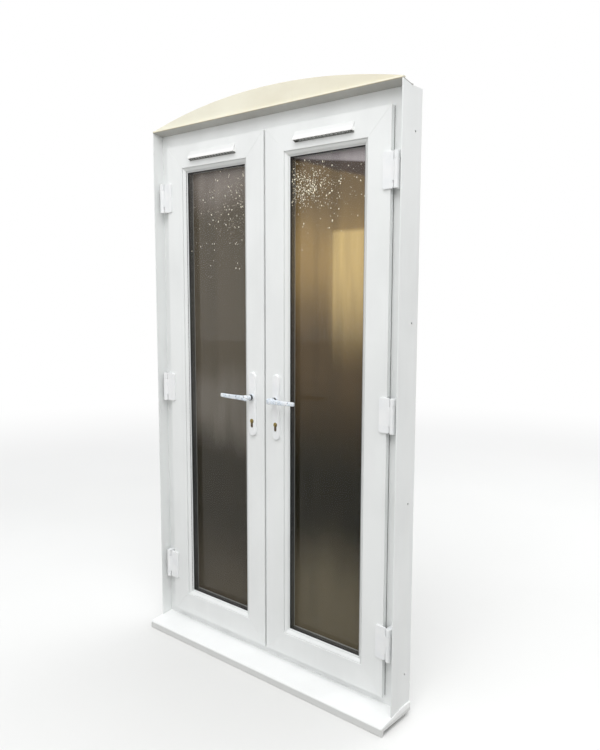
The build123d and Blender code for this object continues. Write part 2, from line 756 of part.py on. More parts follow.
for side_name, side in (("left", -1), ("right", 1)):
    hinge_key = side_name
    lock_key = "right" if side < 0 else "left"
    left, right = sorted((side * leaf_lock_edge, side * leaf_edge))
    leaf_places = bar_places(left, right, leaf_bottom, leaf_top, leaf_front)

    with BuildPart() as hinge_stile:
        add(mitred_bar(*leaf_places[hinge_key], sash_outline, sash_chambers))
    hinge_stile.part.label = f"{side_name}_hinge_stile"
    export_step(hinge_stile.part, f"parts/{side_name}_hinge_stile.step")

    with BuildPart() as lock_stile:
        add(mitred_bar(*leaf_places[lock_key], sash_outline, sash_chambers))
        add(
            mirrored_slab(
                side,
                (body_edge, lock_y - groove_width / 2, key_height - case_below),
                (
                    leaf_lock_edge + sash_chamber_low,
                    lock_y + groove_width / 2,
                    handle_height + case_above,
                ),
            ),
            mode=Mode.SUBTRACT,
        )
        add(
            mirrored_slab(
                side,
                (
                    handle_x - cylinder_radius - bolt_clearance,
                    leaf_front,
                    key_height - cylinder_drop - section_wall,
                ),
                (
                    handle_x + cylinder_radius + bolt_clearance,
                    leaf_rear,
                    handle_height + neck_radius,
                ),
            ),
            mode=Mode.SUBTRACT,
        )
    lock_stile.part.label = f"{side_name}_lock_stile"
    export_step(lock_stile.part, f"parts/{side_name}_lock_stile.step")

    with BuildPart() as bottom_rail:
        add(mitred_bar(*leaf_places["bottom"], sash_outline, sash_chambers))
    bottom_rail.part.label = f"{side_name}_bottom_rail"
    export_step(bottom_rail.part, f"parts/{side_name}_bottom_rail.step")

    vent_slot_z = (vent_bottom + vent_top) / 2
    with BuildPart() as top_rail:
        add(mitred_bar(*leaf_places["top"], sash_outline, sash_chambers))
        with BuildSketch(facing_plane(leaf_rear)):
            for shift in (-1, 1):
                with Locations((side * leaf_middle + shift * vent_length / 4, vent_slot_z)):
                    Rectangle(vent_slot_length, vent_slot_height)
        extrude(amount=leaf_depth, mode=Mode.SUBTRACT)
    top_rail.part.label = f"{side_name}_top_rail"
    export_step(top_rail.part, f"parts/{side_name}_top_rail.step")

    with BuildPart() as leaf_steel:
        steel_space = leaf_section + glazing_leg
        for name in ("left", "right", "bottom"):
            place, length = leaf_places[name]
            near = handle_x - leaf_lock_edge - neck_radius if name == lock_key else sash_chamber_low
            steel_channel(
                place, near + steel_clearance, main_front + steel_clearance,
                sash_chamber_high - steel_clearance, sash_main_rear - steel_clearance,
                steel_space, length - 2 * steel_space,
            )
        add(
            mirrored_slab(
                side,
                (body_edge, leaf_front, key_height - cylinder_drop - section_wall),
                (
                    handle_x + cylinder_radius + section_wall,
                    leaf_rear,
                    handle_height + neck_radius,
                ),
            ),
            mode=Mode.SUBTRACT,
        )
    leaf_steel.part.label = f"{side_name}_leaf_steel"
    export_step(leaf_steel.part, f"parts/{side_name}_leaf_steel.step")

    with BuildPart() as glass_panes:
        glass_width = leaf_edge - leaf_lock_edge - 2 * glass_edge
        glass_height = leaf_top - leaf_bottom - 2 * glass_edge
        for front in (pane_front, inner_pane_front):
            with BuildSketch(facing_plane(front + pane_thickness)):
                with Locations((side * leaf_middle, (leaf_top + leaf_bottom) / 2)):
                    Rectangle(glass_width, glass_height)
            extrude(amount=pane_thickness)
    glass_panes.part.label = f"{side_name}_glass_panes"
    export_step(glass_panes.part, f"parts/{side_name}_glass_panes.step")

    with BuildPart() as spacer_bar:
        spacer_edge = glass_edge + spacer_inset
        leaf_ring(side, spacer_edge, spacer_edge + spacer_width, pane_front + pane_thickness, pane_spacing)
    spacer_bar.part.label = f"{side_name}_spacer_bar"
    export_step(spacer_bar.part, f"parts/{side_name}_spacer_bar.step")

    with BuildPart() as glazing_gasket:
        gasket_reach = leaf_section + glazing_leg + gasket_lip
        leaf_ring(side, glass_edge, gasket_reach, leaf_front + leg_rear, gasket_thickness)
    glazing_gasket.part.label = f"{side_name}_glazing_gasket"
    export_step(glazing_gasket.part, f"parts/{side_name}_glazing_gasket.step")

    with BuildPart() as glazing_beads:
        for place, length in leaf_places.values():
            add(mitred_bar(place, length, bead_outline, [], glazing_clearance))
    glazing_beads.part.label = f"{side_name}_glazing_beads"
    export_step(glazing_beads.part, f"parts/{side_name}_glazing_beads.step")

    with BuildPart() as leaf_seal:
        seal_depth = -flange_rear - seal_clearance
        leaf_ring(side, seal_margin, frame_overlap - seal_margin, flange_rear, seal_depth)
    leaf_seal.part.label = f"{side_name}_leaf_seal"
    export_step(leaf_seal.part, f"parts/{side_name}_leaf_seal.step")

    with BuildPart() as hinge_leaf_halves:
        for middle in hinge_heights:
            bottom = middle - hinge_height / 2
            with BuildSketch(facing_plane(leaf_front)):
                with Locations((side * (leaf_edge + flag_overhang - flag_width / 2), middle)):
                    RectangleRounded(flag_width, hinge_height, flag_corner)
            extrude(amount=flag_thickness)
            web_low = hinge_y - web_thickness / 2
            add(mirrored_slab(
                side,
                (leaf_edge + flag_overhang - section_wall, web_low, middle - web_bottom),
                (hinge_x, web_low + web_thickness, middle + web_top),
            ))
            with BuildSketch(Plane.XY.offset(bottom)):
                with Locations((side * hinge_x, hinge_y)):
                    Circle(barrel_radius)
            extrude(amount=hinge_height - cap_share - joint_gap)
            with BuildSketch(Plane.XY.offset(bottom + section_wall - joint_gap)):
                with Locations((side * hinge_x, hinge_y)):
                    Circle(pin_radius + pin_clearance)
            extrude(amount=hinge_height, mode=Mode.SUBTRACT)
    hinge_leaf_halves.part.label = f"{side_name}_hinge_leaf_halves"
    export_step(hinge_leaf_halves.part, f"parts/{side_name}_hinge_leaf_halves.step")

    plate_middle = handle_height + plate_above - plate_height / 2
    for face_name, face_y, outwards in (("outer", leaf_front, -1), ("inner", leaf_rear, 1)):
        front_y = face_y + outwards * plate_thickness
        with BuildPart() as backplate:
            with BuildSketch(facing_plane(face_y)):
                with Locations((side * handle_x, plate_middle)):
                    SlotOverall(plate_height, plate_width, rotation=90)
            extrude(amount=-outwards * plate_thickness)
            rim = backplate.faces().filter_by(Axis.Y).sort_by(Axis.Y)[0 if outwards < 0 else -1]
            chamfer(rim.edges(), length=plate_thickness / 3)
            with BuildSketch(facing_plane(max(face_y, front_y))):
                with Locations((side * handle_x, handle_height)):
                    Circle(neck_radius + running_clearance)
            extrude(amount=plate_thickness, mode=Mode.SUBTRACT)
            cylinder_hole = euro_profile(side * handle_x, max(face_y, front_y), running_clearance)
            extrude(cylinder_hole, amount=plate_thickness, mode=Mode.SUBTRACT)
        backplate.part.label = f"{side_name}_{face_name}_backplate"
        export_step(backplate.part, f"parts/{side_name}_{face_name}_backplate.step")

    inner_lever_root = leaf_rear + plate_thickness
    outer_lever_root = leaf_front - plate_thickness
    socket_end = inner_lever_root + lever_standoff / 2
    with BuildPart() as outer_lever:
        add(lever_arm(side, outer_lever_root, -1))
        with BuildSketch(facing_plane(socket_end)):
            with Locations((side * handle_x, handle_height)):
                Rectangle(spindle_size, spindle_size)
        extrude(amount=socket_end - outer_lever_root)
    outer_lever.part.label = f"{side_name}_outer_lever"
    export_step(outer_lever.part, f"parts/{side_name}_outer_lever.step")

    with BuildPart() as inner_lever:
        add(lever_arm(side, inner_lever_root, 1))
        with BuildSketch(facing_plane(socket_end + running_clearance)):
            with Locations((side * handle_x, handle_height)):
                Rectangle(spindle_size + running_clearance, spindle_size + running_clearance)
        extrude(amount=2 * lever_standoff, mode=Mode.SUBTRACT)
    inner_lever.part.label = f"{side_name}_inner_lever"
    export_step(inner_lever.part, f"parts/{side_name}_inner_lever.step")

    cylinder_front = leaf_front - plate_thickness - cylinder_proud
    cylinder_rear = leaf_rear + plate_thickness + cylinder_proud
    cam_gap = cam_width + 2 * bolt_clearance
    with BuildPart() as cylinder:
        extrude(euro_profile(side * handle_x, cylinder_rear, 0), amount=cylinder_rear - cylinder_front)
        with BuildSketch(facing_plane(cylinder_rear)):
            with Locations((side * handle_x, key_height)):
                Circle(plug_radius + running_clearance / 2)
        extrude(amount=cylinder_rear - cylinder_front, mode=Mode.SUBTRACT)
        with BuildSketch(facing_plane(lock_y + cam_gap / 2)):
            with Locations((side * handle_x, key_height)):
                Circle(cam_radius + bolt_clearance)
        extrude(amount=cam_gap, mode=Mode.SUBTRACT)
    cylinder.part.label = f"{side_name}_lock_cylinder"
    export_step(cylinder.part, f"parts/{side_name}_lock_cylinder.step")

    with BuildPart() as key_plug:
        with BuildSketch(facing_plane(cylinder_rear)):
            with Locations((side * handle_x, key_height)):
                Circle(plug_radius)
        extrude(amount=cylinder_rear - cylinder_front)
        with BuildSketch(facing_plane(lock_y + cam_width / 2)):
            with Locations((side * handle_x, key_height + (cam_radius - 1) / 2)):
                Rectangle(plug_radius, cam_radius - 1)
        extrude(amount=cam_width)
        for start in (cylinder_rear, cylinder_front + key_slot_depth):
            with BuildSketch(facing_plane(start)):
                with Locations((side * handle_x, key_height - 1)):
                    Rectangle(key_slot_width, key_slot_height)
            extrude(amount=key_slot_depth, mode=Mode.SUBTRACT)
    key_plug.part.label = f"{side_name}_key_plug"
    export_step(key_plug.part, f"parts/{side_name}_key_plug.step")

    bolt_rear = handle_x - plug_radius
    latch_tip = mullion_edge + keep_thickness + bolt_clearance
    with BuildPart() as lock_case:
        add(mirrored_slab(
            side,
            (body_edge + groove_depth - strip_thickness, lock_y - case_half, strip_bottom),
            (body_edge + groove_depth, lock_y + case_half, strip_top),
        ))
        add(mirrored_slab(
            side,
            (body_edge + groove_depth, lock_y - case_half, key_height - case_below + bolt_clearance),
            (
                leaf_lock_edge + case_depth,
                lock_y + case_half,
                handle_height + case_above - bolt_clearance,
            ),
        ))
        cut_case_openings(side, lock_y - groove_width, lock_y + groove_width)
        with BuildSketch(facing_plane(lock_y + cam_gap / 2)):
            with Locations((side * handle_x, key_height)):
                Circle(cam_radius + bolt_clearance)
        extrude(amount=cam_gap, mode=Mode.SUBTRACT)
        for height, size in ((latch_z, latch_height), (dead_bolt_z, dead_bolt_height)):
            add(
                mirrored_slab(
                    side,
                    (body_edge - 1, lock_y - keep_hole_half, height - size / 2 - bolt_clearance),
                    (bolt_rear, lock_y + keep_hole_half, height + size / 2 + bolt_clearance),
                ),
                mode=Mode.SUBTRACT,
            )
    lock_case.part.label = f"{side_name}_lock_case"
    export_step(lock_case.part, f"parts/{side_name}_lock_case.step")

    with BuildPart() as latch_bolt:
        with BuildSketch(Plane.XY.offset(latch_z - latch_height / 2)):
            with BuildLine():
                Polyline(
                    (side * latch_tip, lock_y + latch_half),
                    (side * (body_edge - bolt_clearance), lock_y - latch_half),
                    (side * (bolt_rear - latch_travel - bolt_clearance), lock_y - latch_half),
                    (side * (bolt_rear - latch_travel - bolt_clearance), lock_y + latch_half),
                    close=True,
                )
            make_face()
        extrude(amount=latch_height)
    latch_bolt.part.label = f"{side_name}_latch_bolt"
    export_step(latch_bolt.part, f"parts/{side_name}_latch_bolt.step")

    with BuildPart() as dead_bolt:
        add(mirrored_slab(
            side,
            (body_edge + bolt_clearance, lock_y - latch_half, dead_bolt_z - dead_bolt_height / 2),
            (bolt_rear - bolt_clearance, lock_y + latch_half, dead_bolt_z + dead_bolt_height / 2),
        ))
        bolt_face = dead_bolt.faces().sort_by(Axis.X)[0 if side > 0 else -1]
        fillet(bolt_face.edges().filter_by(Axis.Z), radius=keep_thickness)
    dead_bolt.part.label = f"{side_name}_dead_bolt"
    export_step(dead_bolt.part, f"parts/{side_name}_dead_bolt.step")

    vent_inner = vent_wall + 1
    canopy_front = leaf_front - vent_proud
    with BuildPart() as vent_canopy:
        with BuildSketch(Plane.YZ.offset(side * leaf_middle - vent_length / 2)):
            with BuildLine():
                Polyline(
                    (leaf_front, vent_bottom),
                    (leaf_front, vent_top),
                    (leaf_front - 1, vent_top),
                    (canopy_front, vent_lip),
                    (canopy_front, vent_lip - 2 * vent_wall),
                    (canopy_front + vent_wall, vent_lip - 2 * vent_wall),
                    close=True,
                )
            make_face()
        extrude(amount=vent_length)
        with BuildSketch(Plane.YZ.offset(side * leaf_middle - vent_length / 2 + vent_wall)):
            with BuildLine():
                Polyline(
                    (leaf_front, vent_bottom + vent_inner),
                    (leaf_front, vent_top - 2 * vent_inner),
                    (canopy_front + vent_wall, vent_lip - vent_wall),
                    close=True,
                )
            make_face()
        extrude(amount=vent_length - 2 * vent_wall, mode=Mode.SUBTRACT)
        slat_pitch = (vent_length - 2 * vent_wall) / vent_slats
        for slat in range(vent_slats):
            slat_x = side * leaf_middle - vent_length / 2 + vent_wall + (slat + 0.5) * slat_pitch
            add(
                slab(
                    (slat_x - slat_pitch / 2 + vent_wall / 2, canopy_front + 2 * vent_wall, vent_bottom - 1),
                    (slat_x + slat_pitch / 2 - vent_wall / 2, leaf_front - vent_wall, vent_lip - vent_wall),
                ),
                mode=Mode.SUBTRACT,
            )
    vent_canopy.part.label = f"{side_name}_vent_canopy"
    export_step(vent_canopy.part, f"parts/{side_name}_vent_canopy.step")

    controller_low = vent_slot_z - controller_height / 2
    controller_left = side * leaf_middle - vent_length / 2
    with BuildPart() as vent_controller:
        add(slab(
            (controller_left, leaf_rear, controller_low),
            (controller_left + vent_length, leaf_rear + controller_depth, controller_low + controller_height),
        ))
        add(
            slab(
                (
                    controller_left + 4 * vent_wall,
                    leaf_rear - 1,
                    controller_low + 3 * vent_wall,
                ),
                (
                    controller_left + vent_length - 4 * vent_wall,
                    leaf_rear + controller_depth + 1,
                    controller_low + controller_height - 3 * vent_wall,
                ),
            ),
            mode=Mode.SUBTRACT,
        )
    vent_controller.part.label = f"{side_name}_vent_controller"
    export_step(vent_controller.part, f"parts/{side_name}_vent_controller.step")

    flap_axis_y = leaf_rear + controller_depth + bolt_clearance + flap_thickness / 2
    flap_axis_z = controller_low + vent_wall + flap_thickness / 2
    flap_top = controller_low + controller_height - vent_wall
    with BuildPart() as vent_flap:
        with BuildSketch(Plane.YZ.offset(controller_left + vent_wall)):
            with Locations((flap_axis_y, flap_axis_z)):
                Circle(flap_thickness / 2)
            with Locations((flap_axis_y, (flap_axis_z + flap_top) / 2)):
                Rectangle(flap_thickness, flap_top - flap_axis_z)
        extrude(amount=vent_length - 2 * vent_wall)
        fillet(vent_flap.edges().filter_by(Axis.X).group_by(Axis.Z)[-1], radius=flap_thickness / 3)
    vent_flap.part.label = f"{side_name}_vent_flap"
    export_step(vent_flap.part, f"parts/{side_name}_vent_flap.step")
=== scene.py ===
"""French doors in white plastic sections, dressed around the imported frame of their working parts."""

import logging
import math
import random
from dataclasses import dataclass
from enum import Enum
from typing import Callable

import bmesh
import bpy
from mathutils import Euler, Matrix, Vector


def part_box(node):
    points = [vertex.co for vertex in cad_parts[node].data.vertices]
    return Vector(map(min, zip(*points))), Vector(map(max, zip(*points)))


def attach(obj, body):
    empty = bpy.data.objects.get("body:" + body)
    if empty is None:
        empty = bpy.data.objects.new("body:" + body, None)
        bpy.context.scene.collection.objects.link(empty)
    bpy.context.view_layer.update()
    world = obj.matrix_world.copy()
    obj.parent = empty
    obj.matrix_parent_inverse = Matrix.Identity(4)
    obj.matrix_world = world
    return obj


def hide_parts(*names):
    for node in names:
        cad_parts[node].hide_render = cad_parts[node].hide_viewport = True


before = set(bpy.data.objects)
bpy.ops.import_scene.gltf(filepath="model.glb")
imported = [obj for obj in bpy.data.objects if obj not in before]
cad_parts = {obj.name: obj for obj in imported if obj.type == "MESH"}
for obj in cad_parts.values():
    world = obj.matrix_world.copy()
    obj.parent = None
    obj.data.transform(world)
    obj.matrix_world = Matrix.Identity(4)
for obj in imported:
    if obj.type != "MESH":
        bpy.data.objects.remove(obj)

LOG = logging.getLogger("french_doors")
MERGE_DISTANCE = 1e-5
FLAT_ANGLE = math.radians(0.5)
EDGE_ANGLE = math.radians(28)
RIM_ANGLE = math.radians(60)
FACING = 0.9
UPRIGHT = (math.pi / 2, 0.0, 0.0)
WHITE_LIGHT = (1.0, 1.0, 1.0, 1.0)

Piece = bpy.types.Object
Colour = tuple[float, float, float, float]
Size = tuple[float, float, float]
Span = tuple[float, float]
Operator = Callable[..., object]
FaceTest = Callable[[Vector, Vector], bool]


def shade(red: float, green: float, blue: float) -> Colour:
    """Turn a colour of 0 to 255 display values into the linear values that shaders use.

    Args:
        red: Red share of the colour as shown.
        green: Green share of the colour as shown.
        blue: Blue share of the colour as shown.

    Returns:
        The linear colour with full cover.
    """
    linear = []
    for share in (red / 255, green / 255, blue / 255):
        linear.append(share / 12.92 if share <= 0.04045 else ((share + 0.055) / 1.055) ** 2.4)
    return (linear[0], linear[1], linear[2], 1.0)


class Side(Enum):
    """The two leaves, as seen from outdoors."""

    LEFT = -1
    RIGHT = 1

    def node(self, part: str) -> str:
        """Name of a part of this leaf in the frame."""
        return f"{self.name.lower()}_{part}"


class Face(Enum):
    """The two faces of a leaf."""

    OUTER = -1
    INNER = 1

    def part(self, word: str) -> str:
        """Name of a part that both faces have, such as a lever."""
        return f"{self.name.lower()}_{word}"


class Number:
    """A socket that carries one number, with Python's operators for shader maths."""

    def __init__(self, graph: "Graph", socket: bpy.types.NodeSocket) -> None:
        """Keep the socket and the graph that it is in."""
        self.graph = graph
        self.socket = socket

    def maths(self, operation: str, first: "Number | float", second: "Number | float" = 0.0) -> "Number":
        """Add one Math node and give its result."""
        node = self.graph.node("ShaderNodeMath", {"operation": operation}, {0: first, 1: second})
        return Number(self.graph, node.outputs[0])

    def __add__(self, other: "Number | float") -> "Number":
        """Sum of two values."""
        return self.maths("ADD", self, other)

    def __radd__(self, other: float) -> "Number":
        """Sum with a plain number on the left."""
        return self.maths("ADD", other, self)

    def __sub__(self, other: "Number | float") -> "Number":
        """Difference of two values."""
        return self.maths("SUBTRACT", self, other)

    def __rsub__(self, other: float) -> "Number":
        """Difference with a plain number on the left."""
        return self.maths("SUBTRACT", other, self)

    def __mul__(self, other: "Number | float") -> "Number":
        """Product of two values."""
        return self.maths("MULTIPLY", self, other)

    def __abs__(self) -> "Number":
        """The value without its sign."""
        return self.maths("ABSOLUTE", self)

    def least(self, other: "Number | float") -> "Number":
        """The smaller of two values."""
        return self.maths("MINIMUM", self, other)

    def ramp(self, low: float, high: float) -> "Number":
        """Smooth step from 0 at low to 1 at high.

        Args:
            low: Value at which the step starts.
            high: Value at which the step ends. It may be the smaller one.

        Returns:
            The step, from 0 to 1.
        """
        start, end = (0.0, 1.0) if high > low else (1.0, 0.0)
        node = self.graph.node(
            "ShaderNodeMapRange",
            {"interpolation_type": "SMOOTHSTEP"},
            {0: self, 1: min(low, high), 2: max(low, high), 3: start, 4: end},
        )
        return Number(self.graph, node.outputs[0])


class Graph:
    """A node tree, with one method that makes every node."""

    def __init__(self, tree: bpy.types.NodeTree) -> None:
        """Keep the tree that nodes are added to."""
        self.tree = tree

    def node(self, kind: str, settings: dict[str, object], sockets: dict[object, object]) -> bpy.types.Node:
        """Add a node, first with its settings and then with the values or links of its sockets.

        Args:
            kind: The node's type.
            settings: Properties of the node by name.
            sockets: Values, sockets or numbers by the name or place of the input.

        Returns:
            The new node.
        """
        made = self.tree.nodes.new(kind)
        for name, value in settings.items():
            if name == "stops":
                self.set_stops(made.color_ramp, value)
            else:
                setattr(made, name, value)
        for key, value in sockets.items():
            self.feed(made.inputs[key], value)
        return made

    @staticmethod
    def set_stops(ramp: bpy.types.ColorRamp, stops: list[tuple[float, Colour]]) -> None:
        """Fill a colour ramp.

        Args:
            ramp: The ramp of a new node.
            stops: Place and colour of each stop, from 0 to 1 in rising order.
        """
        ramp.interpolation = "EASE"
        while len(ramp.elements) < len(stops):
            ramp.elements.new(1.0)
        for element, (place, colour) in zip(ramp.elements, stops):
            element.position = place
            element.color = colour

    def feed(self, socket: bpy.types.NodeSocket, value: object) -> None:
        """Link a socket or a number to an input, or set the input's own value.

        Args:
            socket: The input.
            value: What the input gets.
        """
        if isinstance(value, Number):
            value = value.socket
        if isinstance(value, bpy.types.NodeSocket):
            self.tree.links.new(value, socket)
        else:
            socket.default_value = value


class Shader(Graph):
    """The node tree of one material on Object coordinates."""

    def __init__(self, name: str) -> None:
        """Start a material with its plain surface shader.

        Args:
            name: The material's name.
        """
        self.material = bpy.data.materials.new(name)
        self.material.use_nodes = True
        super().__init__(self.material.node_tree)
        self.surface = self.tree.nodes["Principled BSDF"]
        self.place = self.node("ShaderNodeTexCoord", {}, {}).outputs["Object"]

    def stretched(self, scale: Size) -> bpy.types.NodeSocket:
        """Object coordinates scaled along each axis."""
        return self.node("ShaderNodeMapping", {}, {"Vector": self.place, "Scale": scale}).outputs[0]

    def axis(self, name: str) -> Number:
        """One Object coordinate, in metres."""
        return Number(self, self.node("ShaderNodeSeparateXYZ", {}, {0: self.place}).outputs[name])

    def noise(self, scale: Size, detail: float = 3.0) -> Number:
        """Soft noise from 0 to 1, scaled in blots for each metre along each axis."""
        sockets = {"Vector": self.stretched(scale), "Scale": 1.0, "Detail": detail}
        return Number(self, self.node("ShaderNodeTexNoise", {}, sockets).outputs[0])

    def cells(self, scale: float) -> bpy.types.Node:
        """Voronoi node of a grain, with its cells for each metre."""
        return self.node("ShaderNodeTexVoronoi", {}, {"Vector": self.place, "Scale": scale})

    def blend(self, share: Number, first: object, second: object) -> bpy.types.NodeSocket:
        """Mix two colours, each of them a value or a socket, by a share from 0 to 1."""
        node = self.node("ShaderNodeMix", {"data_type": "RGBA"}, {0: share, 6: first, 7: second})
        return node.outputs[2]

    def dress(self, sockets: dict[str, object]) -> None:
        """Set the surface shader's sockets."""
        for name, value in sockets.items():
            self.feed(self.surface.inputs[name], value)

    def relief(self, height: Number, depth: float, strength: float = 1.0) -> None:
        """Bump the surface by a relief from 0 to 1, with its depth in metres."""
        sockets = {"Strength": strength, "Distance": depth, "Height": height}
        self.feed(self.surface.inputs["Normal"], self.node("ShaderNodeBump", {}, sockets).outputs[0])


@dataclass(frozen=True)
class Finish:
    """A surface finish that belongs to one of the record's material slots."""

    name: str
    slot: str

    def material(self) -> bpy.types.Material:
        """Find the finish's material, or make it at its first use.

        Returns:
            The material.
        """
        found = bpy.data.materials.get(self.name)
        if found is not None:
            return found
        shader = Shader(self.name)
        self.paint(shader)
        return shader.material

    def paint(self, shader: Shader) -> None:
        """Build the nodes of the finish."""
        raise NotImplementedError


@dataclass(frozen=True)
class WhiteSection(Finish):
    """Extruded white plastic with a soft gloss, faint rain marks and a little dust towards the foot."""

    clean: Colour = shade(238, 240, 239)
    aged: Colour = shade(231, 233, 232)
    dust: Colour = shade(188, 184, 176)
    dust_top: float = 0.35
    streaking: float = 0.025
    blotting: float = 0.03
    specking: float = 0.06
    low_specking: float = 0.1

    def paint(self, shader: Shader) -> None:
        """Build the nodes of the finish.

        Args:
            shader: The material that is built.
        """
        cloud = shader.noise((5.0, 5.0, 2.5))
        streaks = shader.noise((34.0, 34.0, 2.2), 4.0).ramp(0.5, 0.8)
        blots = shader.noise((9.0, 9.0, 9.0), 5.0).ramp(0.5, 0.8)
        specks = shader.noise((380.0, 380.0, 380.0), 2.0).ramp(0.68, 0.78)
        low = shader.axis("Z").ramp(self.dust_top, 0.0)
        colour = self.painted_shade(shader, shader.blend(cloud.ramp(0.35, 0.7), self.clean, self.aged))
        dirt = streaks * self.streaking + blots * low * self.blotting
        dirt = dirt + specks * (self.specking + low * self.low_specking)
        shader.dress({
            "Base Color": shader.blend(dirt, colour, self.dust),
            "Roughness": 0.34 + cloud * 0.1 + dirt * 0.5,
        })
        grain = shader.noise((900.0, 900.0, 900.0), 2.0)
        shader.relief(grain * 0.6 + shader.noise((30.0, 30.0, 6.0)) * 0.4, 0.00012, 0.35)

    def painted_shade(self, shader: Shader, colour: bpy.types.NodeSocket) -> bpy.types.NodeSocket:
        """Leave the plastic without painted shade of its own."""
        return colour


@dataclass(frozen=True)
class CillPlastic(WhiteSection):
    """White plastic of the cill, greyed on its upright nose by painted shade."""

    nose_shade: Colour = shade(219, 220, 218)
    nose_top: float = 0.012
    blur: float = 0.003
    cover: float = 0.9

    def painted_shade(self, shader: Shader, colour: bpy.types.NodeSocket) -> bpy.types.NodeSocket:
        """Paint shade on the upright nose, greying it."""
        # Painted shade: the upright nose is greyed, darker than the cill's top.
        nose = shader.axis("Z").ramp(self.nose_top + self.blur, self.nose_top - self.blur)
        return shader.blend(nose * self.cover, colour, self.nose_shade)


@dataclass(frozen=True)
class CreamPanel(Finish):
    """Cream infill board with a paler drip lip along its foot, painted shade that darkens it towards +X,
    and a painted shadow line with some dirt along the lip's foot.
    """

    cream: Colour = shade(240, 237, 219)
    # Painted shade: the tone that the board darkens to towards +X.
    shadowed: Colour = shade(221, 214, 192)
    lip: Colour = shade(240, 236, 216)
    # Painted shadow, with some dirt: the dark tan line along the foot of the lip, where it meets the
    # soffit.
    grime: Colour = shade(150, 132, 92)
    lip_top: float = 2.095
    lip_foot: float = 2.0865
    blur: float = 0.0004
    drip: Span = (0.0028, 0.001)
    shade_span: Span = (-0.3, 0.5)

    def paint(self, shader: Shader) -> None:
        """Build the nodes of the finish.

        Args:
            shader: The material that is built.
        """
        cloud = shader.noise((6.0, 6.0, 14.0), 4.0)
        fibre = shader.noise((60.0, 260.0, 900.0), 2.0)
        runs = shader.noise((90.0, 90.0, 8.0)).ramp(0.58, 0.8)
        # Painted shade: the board darkens from cream towards the shadowed tone along +X, and is mixed below
        # with its own blotches and runs.
        shaded_side = shader.axis("X").ramp(*self.shade_span)
        aged = cloud.ramp(0.3, 0.75) * 0.4 + runs * 0.25 + shaded_side * 0.6
        board = shader.blend(aged.least(1.0), self.cream, self.shadowed)
        height = shader.axis("Z")
        on_lip = height.ramp(self.lip_top + self.blur, self.lip_top - self.blur)
        # Painted shadow, with some dirt: a dark line just above the lip's foot.
        drip = (height - self.lip_foot).ramp(*self.drip)
        edged = shader.blend(on_lip, board, self.lip)
        shader.dress({
            "Base Color": shader.blend(drip * 0.75, edged, self.grime),
            "Roughness": 0.5 - on_lip * 0.18 + cloud * 0.08,
        })
        shader.relief(fibre, 0.0002, 0.4)


@dataclass(frozen=True)
class Coating(Finish):
    """White powder coating with a fine orange peel."""

    clean: Colour = shade(241, 242, 242)
    worn: Colour = shade(236, 238, 239)
    grime: Colour = shade(170, 168, 164)

    def paint(self, shader: Shader) -> None:
        """Build the nodes of the finish.

        Args:
            shader: The material that is built.
        """
        cloud = shader.noise((26.0, 26.0, 26.0))
        grime = shader.noise((300.0, 300.0, 300.0), 4.0).ramp(0.6, 0.78)
        colour = shader.blend(cloud.ramp(0.35, 0.7), self.clean, self.worn)
        shader.dress({
            "Base Color": shader.blend(grime * 0.1, colour, self.grime),
            "Roughness": 0.36 + cloud * 0.06,
        })
        shader.relief(shader.noise((1400.0, 1400.0, 1400.0), 1.0), 0.00006, 0.5)


@dataclass(frozen=True)
class FilmedCoating(Finish):
    """Powder coating under its bluish protective film, which is speckled with trapped dust."""

    film: Colour = shade(222, 231, 240)
    pale: Colour = shade(240, 243, 246)
    speck: Colour = shade(92, 98, 118)

    def paint(self, shader: Shader) -> None:
        """Build the nodes of the finish.

        Args:
            shader: The material that is built.
        """
        patches = shader.noise((60.0, 60.0, 60.0), 4.0).ramp(0.36, 0.58)
        grain = shader.cells(210.0)
        specks = Number(shader, grain.outputs["Distance"]).ramp(0.44, 0.24) * patches
        smudges = shader.noise((115.0, 115.0, 150.0), 3.0).ramp(0.6, 0.68)
        colour = shader.blend(patches, self.pale, self.film)
        wrinkles = shader.noise((90.0, 260.0, 260.0), 4.0)
        shader.dress({
            "Base Color": shader.blend((specks * 0.35 + smudges).least(0.75), colour, self.speck),
            "Roughness": 0.24 + patches * 0.12,
            "Coat Weight": 0.2 + patches * 0.2,
        })
        shader.relief(wrinkles, 0.0003, 0.6)


@dataclass(frozen=True)
class VentPlastic(Finish):
    """Moulded white plastic with a fine spark texture, painted shade on the grille under the canopies, and
    a greyer painted slope on their fronts.
    """

    clean: Colour = shade(250, 250, 249)
    dull: Colour = shade(243, 243, 241)
    slope_shade: Colour = shade(230, 231, 230)
    grille_shade: Colour = shade(118, 120, 116)
    lip_foot: float = 1.9632
    blur: float = 0.0003
    slope: Span = (0.005, 0.02)

    def paint(self, shader: Shader) -> None:
        """Build the nodes of the finish.

        Args:
            shader: The material that is built.
        """
        cloud = shader.noise((12.0, 12.0, 30.0))
        outdoors = shader.axis("Y").ramp(0.0, -0.004)
        height = shader.axis("Z") - self.lip_foot
        # Painted shade: everything below the canopy's lip, outdoors, is painted dark grey for the shade in
        # the cavity under it.
        under = height.ramp(self.blur, -self.blur) * outdoors
        # Painted shade: the canopy's upper sloping front is greyed upwards from just above the lip.
        rise = height.ramp(*self.slope) * outdoors
        colour = shader.blend(cloud.ramp(0.4, 0.72), self.clean, self.dull)
        colour = shader.blend(rise, colour, self.slope_shade)
        shader.dress({
            "Base Color": shader.blend(under * (0.85 + cloud * 0.15), colour, self.grille_shade),
            "Roughness": 0.42 + cloud * 0.1,
        })
        shader.relief(shader.noise((1800.0, 1800.0, 1800.0), 1.0), 0.00008, 0.5)


